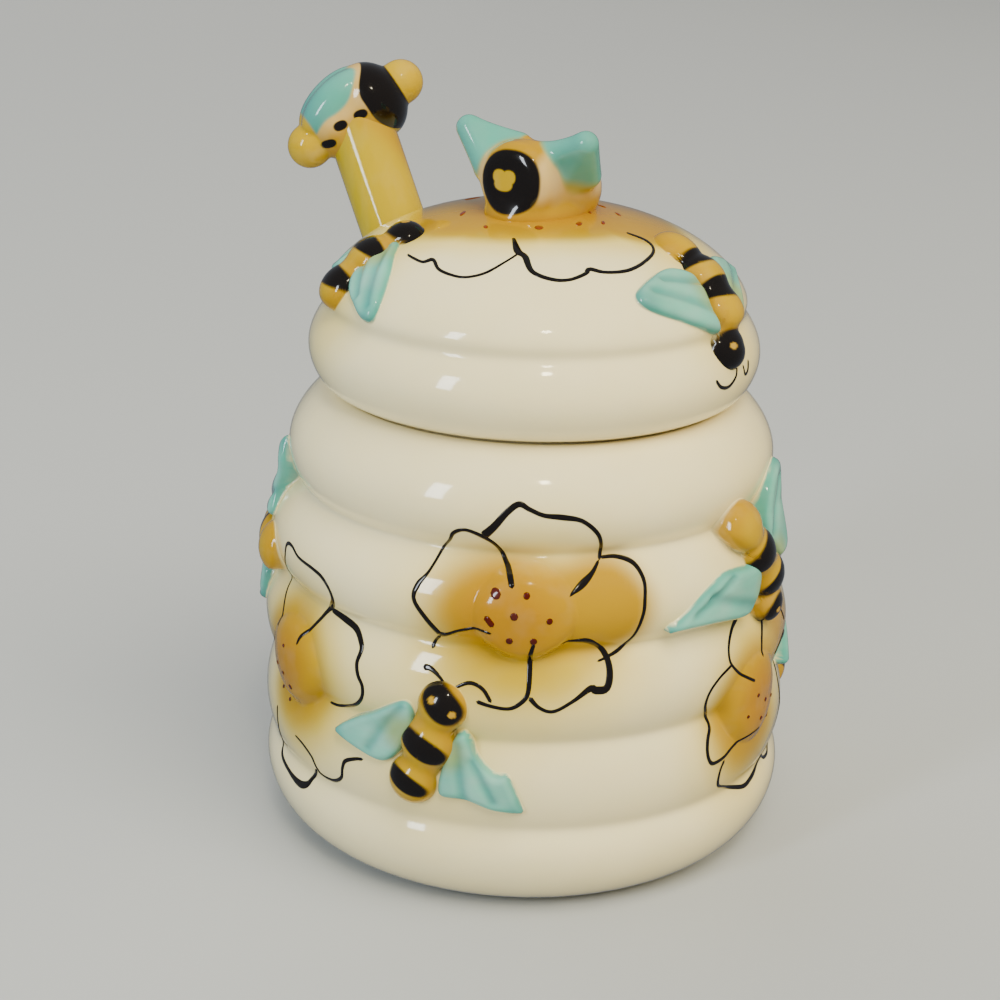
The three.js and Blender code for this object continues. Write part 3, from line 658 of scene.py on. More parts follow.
POT_SIDE = Ground(lambda azimuth, t, lift: polar(azimuth, pot_radius(t) + lift, t), pot_radius, 1,
                  crown_gap, pot_ground)
SOFT_LID = Wall(lid_profile(), SOFT_ROUND, hand=-1)


def lid_point(azimuth, t, lift):
    """Points over the lid's wall, lifted along the normal of a softer lid without the groove."""
    (r, z, _, _), (_, _, nr, nz) = LID.at(t), SOFT_LID.at(t)
    return polar(azimuth, r + nr * lift, z + nz * lift)


def lid_gap(t):
    """How far the lid's wall lies below the softer lid."""
    (r, z, _, _), (soft_r, soft_z, nr, nz) = LID.at(t), SOFT_LID.at(t)
    return np.clip((soft_r - r) * nr + (soft_z - z) * nz, 0, None)


LID_SIDE = Ground(lid_point, lambda t: np.interp(t, LID.s, LID.r), -1, lid_gap,
                  lambda azimuth, t: lid_ground(azimuth, *list(LID.at(t))[:2]))

# %% Reliefs on a ground
# Slip at a relief's edge: the height it covers, how far it rounds the corner and how far it sinks.
SLIP_LEVEL, SLIP_ROUND, SLIP_SINK = 0.15, 0.35, 0.05
# The share of a crease that a relief bridges, and the height at which it bridges all of that.
BRIDGE, FULL = 0.85, 1.5
# How deep a relief's skirt, back and middle lie under the wall.
SKIRT_DIP, BACK_DIP, HEART_DIP = 0.06, 0.9, 1.5
RAY_STEPS = 240


def lifted(ground, place, heading, hill, bridge, full, x, y):
    """Lift, azimuth and t of points x, y of a relief."""
    azimuth, t = ground.places(*place, heading, x, y)
    height = hill(x, y)
    lift = soft_max(height - SLIP_LEVEL, 0 * height, SLIP_ROUND) - SLIP_SINK
    return lift + bridge * ground.gap(t) * ease(0, full, height), azimuth, t


def relief(name, ground, place, heading, hill, tint, body, nodes, material,
           middle=(0.0, 0.0), reach=24.0, rows=46, spokes=160, skirt=0.9, bridge=BRIDGE, full=FULL):
    """A hill on a wall. Along each spoke the outline is the last point whose height is over
    nought; rows run from the middle to a skirt beyond it. lift = soft_max(hill, 0) + bridge."""
    turn = np.linspace(0, 2 * np.pi, spokes, endpoint=False)
    ray = np.linspace(0, reach, RAY_STEPS)
    probe = hill(middle[0] + np.outer(np.sin(turn), ray), middle[1] + np.outer(np.cos(turn), ray))
    outline = ray[((probe > 0) * np.arange(len(ray))).max(1)]
    # Three averages with the neighbours take the steps out of the outline.
    for _ in range(3):
        outline = (np.roll(outline, 1) + 2 * outline + np.roll(outline, -1)) / 4
    inner = np.linspace(0.03, 1, rows)[:, None] ** 0.85
    spread = np.concatenate([outline * inner, outline + skirt * np.linspace(0.2, 1, 5)[:, None]])
    x, y = middle[0] + spread * np.sin(turn), middle[1] + spread * np.cos(turn)
    lift, azimuth, t = lifted(ground, place, heading, hill, bridge, full, x, y)
    lift[-1] = -SKIRT_DIP
    front = ground.point(azimuth, t, lift)
    back = ground.point(azimuth[-1:], t[-1:], -BACK_DIP)
    heart = [ground.point(azimuth[0].mean(), t[0].mean(), depth)
             for depth in (lift[0].mean(), -HEART_DIP)]
    paint = tint(x, y, hill(x, y), ground.tone(azimuth, t))
    paint = np.concatenate([paint, paint[-1:]])
    sheet = (*skin(np.concatenate([front, back]), *heart), tints(paint))
    return build(name, [sheet], material, body, nodes)


# %% [markdown]
# ## Flower centres
# The middle of each flower is a low round mound that bridges the crease between two rings. Its
# colour is the same airbrushed ground as the wall's, so only its shape and its dots set it off.

# %% Flower mounds
MOUND_WIDE, MOUND_TALL, MOUND_HIGH, MOUND_REACH = 10.2, 9.8, 2.3, 13


def mound(x, y):
    """A low dome: its height times (1 - q^2)^0.7, where q is the distance in half sizes."""
    q = np.hypot(x / MOUND_WIDE, y / MOUND_TALL)
    return MOUND_HIGH * np.sign(1 - q) * np.abs(1 - q * q) ** 0.7


def ground_only(x, y, height, ground):
    """The relief shows the ground that it was sprayed with."""
    return ground


def mound_lift(ground, azimuth, t):
    """Height of whatever flower mounds lie at a place, so that brush strokes can climb them."""
    lift = 0 * (azimuth + t)
    if ground is POT_SIDE:
        for place, _ in FLOWERS.values():
            x = np.radians(turned_by(azimuth, place[0])) * ground.radius(t)
            y = t - place[1]
            found = lifted(ground, place, 0, mound, BRIDGE, FULL, x, y)[0]
            lift = np.where(np.hypot(x, y) < MOUND_REACH, np.maximum(lift, found), lift)
    return lift


for name, (place, _) in FLOWERS.items():
    relief(f"{name}_flower_mound", POT_SIDE, place, 0, mound, ground_only, "pot",
           [f"{name}_flower_centre"], AMBER_GLAZE, reach=MOUND_REACH, rows=30,
           spokes=110)
print("mounds:", len(FLOWERS))

# %% [markdown]
# ## Bees in relief
# A bee's body is three bulging lobes in a row, head, middle and tail, painted amber with black
# patches. A lobe is a dome over an ellipse, and the lobes melt into each other. The wings are
# flat leaves with rounded edges and one or two soft folds from the root.

# %% Bee bodies
LOBE_BLEND, PATCH_POWER = 0.5, 2.3


def lobes(parts):
    """A hill of domes: each h * (1 - q^2)^0.6 over its own ellipse, joined by soft_max."""
    def hill(x, y):
        total = None
        for across, up, wide, tall, high in parts:
            q = np.hypot((x - across) / wide, (y - up) / tall)
            one = high * np.sign(1 - q) * np.abs(1 - q * q) ** 0.6
            total = one if total is None else soft_max(total, one, LOBE_BLEND)
        return total
    return hill


def patch(x, y, across, up, wide, tall, tilt=0.0, edge=0.12):
    """1 inside an oval turned by a tilt, 0 outside it, with a brush-sharp edge. Its distance in
    half sizes is (|u|^p + |v|^p)^(1/p), a little squarer than an ellipse's."""
    turn = math.radians(tilt)
    u = (x - across) * math.cos(turn) + (y - up) * math.sin(turn)
    v = (y - up) * math.cos(turn) - (x - across) * math.sin(turn)
    q = (np.abs(u / wide) ** PATCH_POWER + np.abs(v / tall) ** PATCH_POWER) ** (1 / PATCH_POWER)
    return 1 - ease(1 - edge, 1 + edge, q)


# %% Bodies and their patches
# Lobes: across, up, half width, half height, how high. Patches: across, up, half width, half
# height, tilt and colour. Three bees have two eyes and three black patches; the others have an
# amber tail, black bands and a black head.
PATCHED = ([(1.1, 9.7, 5.2, 5.4, 3.5), (0.6, 0.6, 5.7, 5.5, 3.7), (0.0, -8.4, 5.3, 5.4, 3.6),
            (0.5, 0.6, 4.6, 12.6, 2.8)],
           [(1.2, 11.3, 4.9, 3.2, -29, BLACK), (0.3, 0.8, 5.4, 2.5, -15, BLACK),
            (-0.5, -8.1, 4.9, 2.0, -12, BLACK), (-0.9, 11.7, 0.7, 0.7, 0, GOLD),
            (3.8, 10.4, 0.7, 0.7, 0, GOLD)])
BANDED = ([(3.2, 7.4, 4.5, 4.3, 3.2), (0.3, 1.6, 5.3, 5.0, 3.6), (0.9, -5.6, 5.5, 5.0, 3.7),
           (1.5, -12.8, 5.3, 5.6, 3.7), (0.6, -3.6, 4.6, 12.6, 3.0)],
          [(4.0, 8.2, 3.7, 2.9, 20, BLACK), (-0.1, 1.8, 6.0, 2.1, 10, BLACK),
           (1.2, -5.9, 6.2, 2.4, 9, BLACK), (4.4, 8.0, 0.6, 0.6, 0, GOLD)])
TAILED = ([(0.8, 10.6, 4.7, 4.5, 2.6), (0, 3.6, 5.2, 4.9, 2.8), (0, -3.4, 5.4, 5.0, 2.9),
           (0, -10.8, 5.4, 5.4, 3.2), (0, 0, 4.4, 13.6, 2.4)],
          [(1.0, 11.4, 4.6, 3.5, -10, BLACK), (-0.3, 4.6, 5.6, 2.0, -8, BLACK),
           (0, -2.4, 5.7, 2.1, -8, BLACK)])
DIVING = ([(0.6, 12.2, 5.0, 4.9, 3.3), (0, 4.2, 5.2, 5.2, 3.6), (0, -4.0, 5.3, 5.4, 3.6),
           (0, -12.0, 5.0, 6.0, 3.0), (0, 0, 4.4, 15.6, 2.9)],
          [(0.8, 12.9, 5.2, 4.6, 0, BLACK), (0, 0.2, 6.4, 2.2, 0, BLACK),
           (0, -7.4, 6.4, 2.2, 0, BLACK), (2.4, 12.6, 0.75, 0.75, 0, GOLD)])
CLIMBING = ([(0.6, 8.6, 4.6, 4.3, 3.1), *PATCHED[0][1:3], (0.4, -1.4, 4.6, 11.6, 2.8)],
            [(0.6, 9.6, 6.0, 3.9, 0, BLACK), (0.2, 1.3, 6.6, 2.2, 0, BLACK),
             (0, -7.1, 6.4, 2.1, 0, BLACK), (0.6, 10.0, 0.8, 0.8, 0, GOLD)])


def body_tint(patches):
    """Amber body with painted light: sunnier on its crests, where the light falls. Black patches
    and dull gold eyes.
    """
    def tint(x, y, height, ground):
        # The sunny coat on the highest parts of the body is painted light.
        paint = coated(ground, (AMBER, ease(-0.15, 0.5, height)),
                       (SUNNY, 0.6 * ease(1.8, 3.4, height)))
        for *shape, coat in patches:
            paint = over(paint, coat, patch(x, y, *shape))
        return paint
    return tint


# %% Outlines of leaves


def smooth(a, b, c, d, t):
    """A cubic from b to c, a share t of the way. Where it starts it runs along the line from a
    to c, and where it ends along the line from b to d, so that neighbours join smoothly."""
    return 0.5 * (2 * b + (c - a) * t + (2 * a - 5 * b + 4 * c - d) * t ** 2
                  + (3 * b - a - 3 * c + d) * t ** 3)


def outline_of(corners, count=72):
    """A closed smooth outline through a few corners."""
    p = np.asarray(corners, float)
    t = np.linspace(0, 1, count // len(p), endpoint=False)[:, None]
    neighbours = zip(np.roll(p, 1, 0), p, np.roll(p, -1, 0), np.roll(p, -2, 0))
    return np.concatenate([smooth(a, b, c, d, t) for a, b, c, d in neighbours])


def inside_distance(x, y, outline):
    """Distance to a closed outline, above nought inside it and below nought outside."""
    a, b = outline, np.roll(outline, -1, axis=0)
    px, py = x[..., None], y[..., None]
    ex, ey = (b - a).T
    t = np.clip(((px - a[:, 0]) * ex + (py - a[:, 1]) * ey) / (ex ** 2 + ey ** 2 + 1e-12), 0, 1)
    near = np.hypot(px - a[:, 0] - t * ex, py - a[:, 1] - t * ey).min(-1)
    crosses = (a[:, 1] > py) != (b[:, 1] > py)
    side = px < a[:, 0] + ex * (py - a[:, 1]) / np.where(ey == 0, 1e-12, ey)
    return np.where((crosses & side).sum(-1) % 2 == 1, near, -near)


# %% Leaves with folds
FOLD_DEPTH = 0.55


def groove(x, y, fold):
    """How deep a fold is at a point: a bell curve across the line from (x0, y0) to (x1, y1)."""
    x0, y0, x1, y1, wide = fold
    ex, ey = x1 - x0, y1 - y0
    t = np.clip(((x - x0) * ex + (y - y0) * ey) / (ex * ex + ey * ey), 0, 1)
    away = np.hypot(x - x0 - t * ex, y - y0 - t * ey)
    return np.exp(-(away / wide) ** 2)


def leaf_hill(outline, folds, thick=1.9, round_off=1.8):
    """A flat leaf with quarter-round edges, less its folds."""
    def hill(x, y):
        d = inside_distance(x, y, outline)
        edge = 1 - np.clip(d / round_off, -4, 1)
        top = thick * np.where(d > 0, np.sqrt(np.clip(1 - edge ** 2, 0, 1)), d)
        for fold in folds:
            top = top - FOLD_DEPTH * groove(x, y, fold) * ease(0, 1.5, d)
        return top
    return hill


def leaf_tint(outline, folds, root):
    """Teal with painted shade in the folds and painted light on the crests, deeper towards the tip,
    olive at the root.
    """
    tip = outline[np.argmax(np.hypot(*(outline - root).T))]
    heart = outline.mean(0)

    def tint(x, y, height, ground):
        def near(spot, full, none):
            """1 within full millimetres of a spot, 0 beyond none, eased between them."""
            return 1 - ease(full, none, np.hypot(x - spot[0], y - spot[1]))

        # The pale coat on the crests is painted light.
        paint = coated(ground, (TEAL, ease(-0.2, 0.45, height)),
                       (PALE_TEAL, 0.45 * ease(0.9, 1.8, height)),
                       (PALE_TEAL, 0.5 * near(heart, 1, 6)))
        # The deep teal in each fold is painted shade.
        for fold in folds:
            paint = over(paint, DEEP_TEAL, 0.5 * groove(x, y, fold) * ease(0, 1, height))
        return coated(paint, (DEEP_TEAL, 0.5 * near(tip, 1.5, 5) * ease(0, 0.6, height)),
                      (OLIVE, 0.55 * near(root, 1.5, 6) * ease(0, 0.6, height)))
    return tint


# %% Wings, and which bee has which
# A wing: its corners, its folds from (x, y) to (x, y) with their width, and a point in its middle,
# in millimetres from the bee's middle.
SWEPT = ([(4.9, -2.1), (5.0, 3.7), (7.1, 6.4), (10.2, 2.5), (15.1, 0.0), (18.0, 0.4), (22.4, -4.7),
          (23.0, -6.6), (17.5, -7.9), (11.7, -7.7), (6.2, -8.7)],
         [(5.8, 3.4, 11.4, -7.7, 1.1), (10.3, 1.2, 16.7, -5.5, 1.0)], (10.5, -3.4))
SHORT = ([(-6.2, 7.7), (-3.2, 3.2), (-3.8, -2.2), (-6.6, -7.6), (-12.4, -8.7), (-19.5, -8.5),
          (-18.9, -6.1), (-13.4, 0.2)],
         [(-6.7, 6.3, -10.7, -6.4, 1.1)], (-8.6, -3.0))
POINTED = ([(4.0, -2.0), (3.8, -5.5), (6.8, -7.0), (12.2, -10.4), (16.6, -11.3), (21.3, -11.5),
            (27.3, -10.5), (31.2, -10.0), (27.1, -7.6), (20.2, -3.3), (12.1, 2.4), (7.6, 1.4)],
           [(10.0, 1.0, 19.0, -9.4, 1.3), (12.0, -9.0, 24.0, -9.4, 1.0)], (13.0, -5.6))
STEEP = ([(-4.4, -6.0), (-9.9, -11.0), (-15.1, -12.2), (-21.6, -9.4), (-16.0, -1.5), (-11.6, 4.8),
          (-6.0, 3.5), (-4.4, -1.0)],
         [(-6.0, -4.0, -17.0, -8.0, 1.2)], (-10.0, -4.4))
BLUNT = ([(21.3, 0.6), (22.2, 3.6), (19.4, 5.5), (14.6, 6.9), (9.2, 8.4), (4.1, 9.2), (5.2, 3.8),
          (4.5, -1.6), (5.6, -4.7), (10.2, -6.3), (15.8, -3.7)],
         [(5.6, 4.4, 17.8, 0.4, 1.2), (5.0, -1.6, 14.0, -2.6, 1.0)], (9.6, 1.6))
TUCKED = ([(-4.0, -3.0), (-7.0, -8.0), (-12.0, -7.0), (-15.0, -3.6), (-11.0, -0.4), (-7.4, 4.0),
           (-4.4, 7.6)],
          [(-5.0, 1.0, -12.0, -4.0, 1.2)], (-7.6, -1.4))
STUB = ([(-3.6, 5.0), (-3.6, -4.0), (-6.5, -7.4), (-9.4, -6.4), (-8.2, -1.0), (-6.0, 3.5)],
        [(-4.6, 1.0, -8.0, -5.0, 1.0)], (-5.6, -1.6))
NARROW = ([(3.4, 2.0), (3.8, 6.4), (8.1, 3.0), (13.0, -1.2), (17.0, -6.2), (18.6, -11.0),
           (16.0, -12.2), (11.0, -10.0), (6.4, -7.8), (3.6, -4.4)],
          [(4.6, 3.8, 15.6, -9.0, 1.2), (4.6, -2.0, 11.0, -8.0, 1.0)], (9.0, -3.0))


def mirrored(wing):
    """The wing of the other side."""
    corners, folds, (across, up) = wing
    return ([(-x, y) for x, y in corners], [(-a, b, -c, d, wide) for a, b, c, d, wide in folds],
            (-across, up))


# Each bee: its body, its left wing and its right wing.
PATTERNS = {"front_bee": (PATCHED, SHORT, SWEPT), "right_bee": (BANDED, STEEP, POINTED),
            "left_bee": (TAILED, TUCKED, SWEPT), "back_right_bee": (PATCHED, SHORT, SWEPT),
            "back_high_bee": (BANDED, STEEP, POINTED),
            "back_left_bee": (PATCHED, mirrored(SWEPT), SWEPT),
            "lid_right_bee": (DIVING, TUCKED, BLUNT), "lid_left_bee": (CLIMBING, STUB, NARROW),
            "lid_back_bee": (DIVING, mirrored(BLUNT), BLUNT)}
print("bees with their wings chosen:", len(PATTERNS))

# %% Put the bees on
BODY_MIDDLE, WING_ROOT = (0.4, -1.0), (4.5, 1.0)


def bee(name, ground, place, heading, body):
    """A body and two wings in relief."""
    (hills, patches), *wings = PATTERNS[name]
    relief(f"{name}_relief_body", ground, place, heading, lobes(hills), body_tint(patches), body,
           [f"{name}_body"], AMBER_GLAZE, middle=BODY_MIDDLE, reach=22, rows=60,
           spokes=200, bridge=0.95, full=1.0)
    for side, (corners, folds, middle) in zip(("left", "right"), wings):
        outline = outline_of(corners)
        root = (math.copysign(WING_ROOT[0], middle[0]), WING_ROOT[1])
        relief(f"{name}_relief_{side}_wing", ground, place, heading, leaf_hill(outline, folds),
               leaf_tint(outline, folds, root), body, [f"{name}_{side}_wing"],
               TEAL_GLAZE, middle=middle, rows=36, spokes=150, full=1.0)


def lid_place(elevation):
    """Distance along the lid's outside at an angle of elevation from the middle of its seat."""
    top = int(np.argmax(LID.z < LIP))
    elevations = np.degrees(np.arctan2(LID.z[:top] - SEAT, LID.r[:top]))
    return float(np.interp(-elevation, -elevations, LID.s[:top]))


for name, (azimuth, height, heading) in POT_BEES.items():
    bee(name, POT_SIDE, (azimuth, height), heading, "pot")
for name, (azimuth, elevation, heading) in LID_BEES.items():
    bee(name, LID_SIDE, (azimuth, lid_place(elevation)), heading, "lid")
print("bees in relief:", len(POT_BEES) + len(LID_BEES))

# %% [markdown]
# ## Brush strokes
# The outlines, antennae and dots are drawn with a liner brush loaded with black or brown slip.
# The line stands a little proud, swells where the brush was pressed and thins where it lifted.
# Each stroke is a smooth curve through a few places on the wall, with a flat oval section that
# climbs over the flower mounds it crosses.

# %% Strokes
# A line's middle floats this far over its ground. Thinner than the width, it is flatter too.
LINE_FLOAT, FULL_WIDTH = 0.02, 0.5


def smooth_path(spots, step=0.45):
    """An open smooth curve through spots of (x, y, width), cut into steps of about equal length."""
    p = np.asarray(spots, float)
    p = np.concatenate([[2 * p[0] - p[1]], p, [2 * p[-1] - p[-2]]])
    t = np.linspace(0, 1, 24, endpoint=False)[:, None]
    parts = [smooth(a, b, c, d, t) for a, b, c, d in zip(p, p[1:], p[2:], p[3:])]
    path = np.concatenate([*parts, p[-2:-1]])
    length = np.concatenate([[0], np.cumsum(np.hypot(*np.diff(path[:, :2], axis=0).T))])
    even = np.linspace(0, length[-1], max(8, int(length[-1] / step)))
    return np.stack([np.interp(even, length, path[:, i]) for i in range(3)], 1), even


def stroke(ground, place, spots, coat, thick=0.14, sides=10, heading=0, press=1.35):
    """One brush stroke: spots are (across, up, width) in millimetres about a place. The section
    is an ellipse as wide as the brush and thick proud of the ground; both ends are round."""
    path, even = smooth_path(spots)
    x, y, width = path.T
    width = width * press
    ends = np.minimum(even, even[-1] - even)
    cap = np.clip(ends / (0.5 * width + 1e-6), 0, 1)
    width = (width * np.sqrt(np.clip(1 - (1 - cap) ** 2, 0.0, 1)))[:, None]
    tx, ty = np.gradient(x, even), np.gradient(y, even)
    size = np.hypot(tx, ty)
    turn = np.linspace(0, 2 * np.pi, sides, endpoint=False)
    offset = 0.5 * width * np.cos(turn)
    px = x[:, None] - offset * (ty / size)[:, None]
    py = y[:, None] + offset * (tx / size)[:, None]
    azimuth, t = ground.places(*place, heading, px, py)
    rise = thick * np.minimum(1, width / FULL_WIDTH) * np.sin(turn)
    rows = ground.point(azimuth, t, mound_lift(ground, azimuth, t) + LINE_FLOAT + rise)
    sheet = skin(rows[1:-1], rows[0].mean(0), rows[-1].mean(0))
    return (*sheet, np.broadcast_to(coat, sheet[0].shape))


def about(middle, spots):
    """Azimuths and heights, measured on the real pot, as millimetres about a middle."""
    spots = np.asarray(spots, float)
    x = np.radians(spots[:, 0] - middle[0]) * pot_radius(spots[:, 1])
    return np.stack([x, spots[:, 1] - middle[1], spots[:, 2]], 1)


# %% Lines and dots of the flowers
# A line is a list of (azimuth, height, width), and a dot is (azimuth, height, size).
FRONT_LINES = [
    [(-10.5, 81.9, 1.5), (-8, 84.3, 1.2), (-5.4, 87.3, 1.0), (-2.8, 89.1, 0.9), (-0.4, 88.2, 0.7),
     (2.7, 87.1, 0.7), (6.8, 86.7, 0.9), (10.9, 85.9, 0.7), (14.2, 83.4, 0.7), (15.7, 80.6, 0.6),
     (15.6, 76.8, 0.6)],
    [(15.6, 77.0, 0.4), (13.5, 75.0, 0.7), (11.0, 73.2, 1.1), (8.2, 71.3, 0.3)],
    [(-3.4, 73.2, 0.8), (-4.1, 75.2, 0.9), (-5.3, 76.8, 0.7), (-7.6, 80.0, 0.6), (-10.5, 81.9, 0.7),
     (-14.2, 83.0, 0.6), (-17.0, 82.0, 0.7), (-18.6, 79.6, 0.5), (-21.7, 74, 0.4),
     (-23.6, 71.2, 0.8), (-24, 68.4, 0.7), (-21.4, 65, 0.8), (-18.4, 61.3, 0.9)],
    [(-18.6, 61.4, 1.3), (-16.9, 61.7, 0.7), (-14.4, 63.0, 0.5), (-10.5, 64.2, 0.5),
     (-7.1, 64.0, 0.4)],
    [(-18.3, 61.2, 0.6), (-19.6, 59.8, 0.5), (-20.4, 57.8, 0.7)],
    [(15.9, 77.3, 0.4), (19.8, 77.2, 0.5), (23.4, 75.9, 0.6), (24.8, 73.0, 0.6), (24.4, 69.6, 0.6),
     (23.9, 66.4, 0.6), (22.6, 61.9, 0.5), (20.2, 58.9, 0.6), (16.8, 57.6, 0.4), (14.6, 57.0, 0.3)],
    [(6.8, 61.7, 0.3), (9.8, 61.8, 0.6), (12.4, 61.6, 1.0), (15, 60.0, 0.8), (16.9, 57.4, 0.9),
     (17.1, 54.6, 1.1), (16.2, 52.0, 1.2), (14.0, 51.8, 1.2), (12.8, 52.2, 1.0), (9.2, 49.8, 0.6),
     (5.4, 47.8, 0.6), (2.6, 48.7, 0.6), (0.6, 50.8, 0.8)],
    [(1.2, 62.6, 0.5), (0.6, 59.6, 0.7), (0.6, 56.0, 0.8), (0.3, 51.4, 0.7), (-1.4, 49.2, 0.7),
     (-3.5, 48.2, 0.6), (-6.8, 48.5, 0.6), (-9.9, 49.3, 0.7)],
]
FRONT_DOTS = [(-6.7, 72.0, 2.1), (-0.5, 72.1, 1.35), (-2.8, 68.1, 1.6), (4.1, 67.2, 1.3),
              (-3.6, 62.9, 1.4), (1.1, 63.0, 1.45)]
FRONT_DASHES = [[(-8.6, 67.5, 1.3), (-6.8, 65.5, 1.3)]]
LEFT_LINES = [
    [(-64.6, 50.3, 0.5), (-65.6, 53.4, 0.4), (-68.6, 57.4, 0.35), (-68.9, 60.8, 0.3),
     (-66.3, 65.4, 0.4), (-65.3, 68.4, 0.7), (-62.4, 68.9, 0.5), (-58.6, 67.8, 0.5),
     (-52.6, 67.4, 0.6), (-48.8, 66.6, 0.7), (-46.5, 64.5, 0.7), (-46.4, 62.0, 0.8),
     (-49.3, 58.9, 0.9), (-50.6, 56.7, 0.7), (-52.1, 54.5, 0.6), (-53.7, 52.4, 0.6),
     (-54.2, 50.3, 0.3)],
    [(-48.6, 59.0, 0.6), (-47.1, 59.0, 0.9), (-43.3, 58.5, 0.9), (-39.6, 57.7, 0.8),
     (-37.4, 56.1, 0.8), (-36.5, 54.5, 0.8), (-36.9, 51.9, 0.7), (-36.3, 49.5, 0.7),
     (-35.1, 47.3, 0.7), (-35.6, 44.5, 0.6), (-38.3, 41.7, 0.6), (-43.5, 39.5, 0.5),
     (-47.1, 39.1, 0.4)],
    [(-57.4, 28.0, 0.3), (-54.1, 27.3, 0.5), (-51.0, 25.6, 0.6), (-49.9, 23.3, 0.6),
     (-48.3, 22.0, 0.6), (-44.3, 22.3, 0.7), (-41.3, 24.4, 0.6), (-40.5, 27.1, 0.6),
     (-39.6, 29.0, 0.7), (-36.9, 30.4, 0.6), (-34.7, 31.0, 0.5)],
    [(-67.4, 30.6, 0.4), (-67.8, 25.8, 0.4), (-69.0, 22.2, 0.6), (-68.2, 18.6, 0.6),
     (-61.5, 17.2, 0.7), (-56.2, 16.8, 1.2), (-53.5, 17.8, 1.1), (-52.4, 19.6, 0.8),
     (-50.1, 22.7, 0.6)],
    [(-68.0, 48.2, 0.9), (-66.3, 46.3, 0.9)],
]
LEFT_DOTS = [(-59.3, 42.0, 0.9), (-57.0, 39.6, 1.2), (-65.8, 35.6, 0.9), (-61.2, 34.6, 0.9),
             (-62.6, 43.0, 1.0), (-67.2, 40.4, 0.8), (-58.6, 48.6, 0.8)]
RIGHT_LINES = [
    [(53.7, 58.4, 0.6), (50.3, 57.0, 0.5), (47.9, 54.9, 0.5), (47.0, 52.7, 0.5), (47.5, 50.6, 0.5),
     (50.4, 47.7, 0.5), (54.3, 45.1, 0.5)],
    [(47.5, 50.6, 0.5), (43.5, 48.9, 0.5), (40.9, 46.4, 0.6), (40.6, 43.3, 0.6), (42.6, 39.6, 0.6),
     (43.1, 37.4, 0.6), (42.0, 35.2, 0.7), (41.5, 33.0, 0.7), (41.9, 30.9, 0.7), (43.2, 29.6, 0.7),
     (46.4, 29.9, 0.6), (49.3, 31.2, 0.5), (53.1, 32.2, 0.5), (58.3, 32.9, 0.4)],
    [(46.8, 29.3, 0.5), (45.8, 27.3, 0.5), (45.7, 24.9, 0.6), (46.5, 23.0, 0.6), (48.6, 21.8, 0.6),
     (53.3, 19.8, 0.7), (57.3, 18.6, 0.7), (60.6, 18.8, 0.7), (63.6, 19.4, 0.7), (66.6, 20.4, 0.6),
     (69.0, 20.6, 0.6), (71.0, 19.4, 0.6), (74.6, 19.3, 0.5), (77.4, 21.3, 0.5)],
    [(77.0, 50.0, 0.5), (73.0, 56.0, 0.5), (66.0, 58.0, 0.5), (60.5, 53.0, 0.6), (59.0, 48.6, 0.5)],
    [(77.4, 21.3, 0.5), (80.6, 27.0, 0.5), (78.6, 33.4, 0.5), (81.0, 41.0, 0.5), (77.0, 47.4, 0.6),
     (68.4, 45.4, 0.4)],
]
RIGHT_DOTS = [(55.4, 41.5, 0.9), (59.0, 39.2, 1.0), (63.3, 38.3, 0.9), (57.6, 35.4, 1.0),
              (62.4, 33.9, 1.1), (65.4, 36.6, 0.9), (52.4, 37.6, 0.8)]

# %% Draw the flowers
# The brushwork of the three flowers in front, and which of the three each flower is drawn like.
BRUSHWORK = {"front": (FRONT_LINES, FRONT_DOTS, FRONT_DASHES), "left": (LEFT_LINES, LEFT_DOTS, []),
             "right": (RIGHT_LINES, RIGHT_DOTS, [])}
DRAWN_LIKE = {"front": "front", "left": "left", "right": "right", "back_right": "front",
              "back": "left", "back_left": "front"}


def flower_lines(name, pattern):
    """The outline, dots and dashes of one flower as a single piece of raised line work."""
    middle, home = FLOWERS[name][0], FLOWERS[pattern][0]
    lines, dots, dashes = BRUSHWORK[pattern]
    sheets = [stroke(POT_SIDE, middle, about(home, line), BLACK) for line in lines]
    for azimuth, height, size in dots:
        dot = about(home, [(azimuth, height, size)] * 2)
        dot[:, 0] += np.array([-0.5, 0.5]) * size
        sheets.append(stroke(POT_SIDE, middle, dot, BROWN, thick=0.16, sides=14, press=1.0))
    for dash in dashes:
        sheets.append(stroke(POT_SIDE, middle, about(home, dash), BROWN, thick=0.16, press=1.0))
    build(f"{name}_flower_lines", sheets, LINE_GLAZE, "pot")


for name, pattern in DRAWN_LIKE.items():
    flower_lines(name, pattern)
print("flowers drawn:", len(DRAWN_LIKE))

# %% Draw the front bee's feelers
FEELERS = [[(-21.6, 54.4, 0.9), (-19.8, 54.4, 0.8), (-17.4, 52.9, 0.5), (-15.4, 50.6, 0.3)],
           [(-15.2, 50.6, 0.5), (-13.4, 52.0, 0.5), (-11.1, 52.8, 0.6), (-8.6, 51.8, 0.6),
            (-6.8, 49.2, 0.6)]]
middle = FLOWERS["front"][0]
sheets = [stroke(POT_SIDE, middle, about(middle, line), BLACK) for line in FEELERS]
build("front_bee_feelers", sheets, LINE_GLAZE, "pot")
print("feelers:", len(FEELERS))

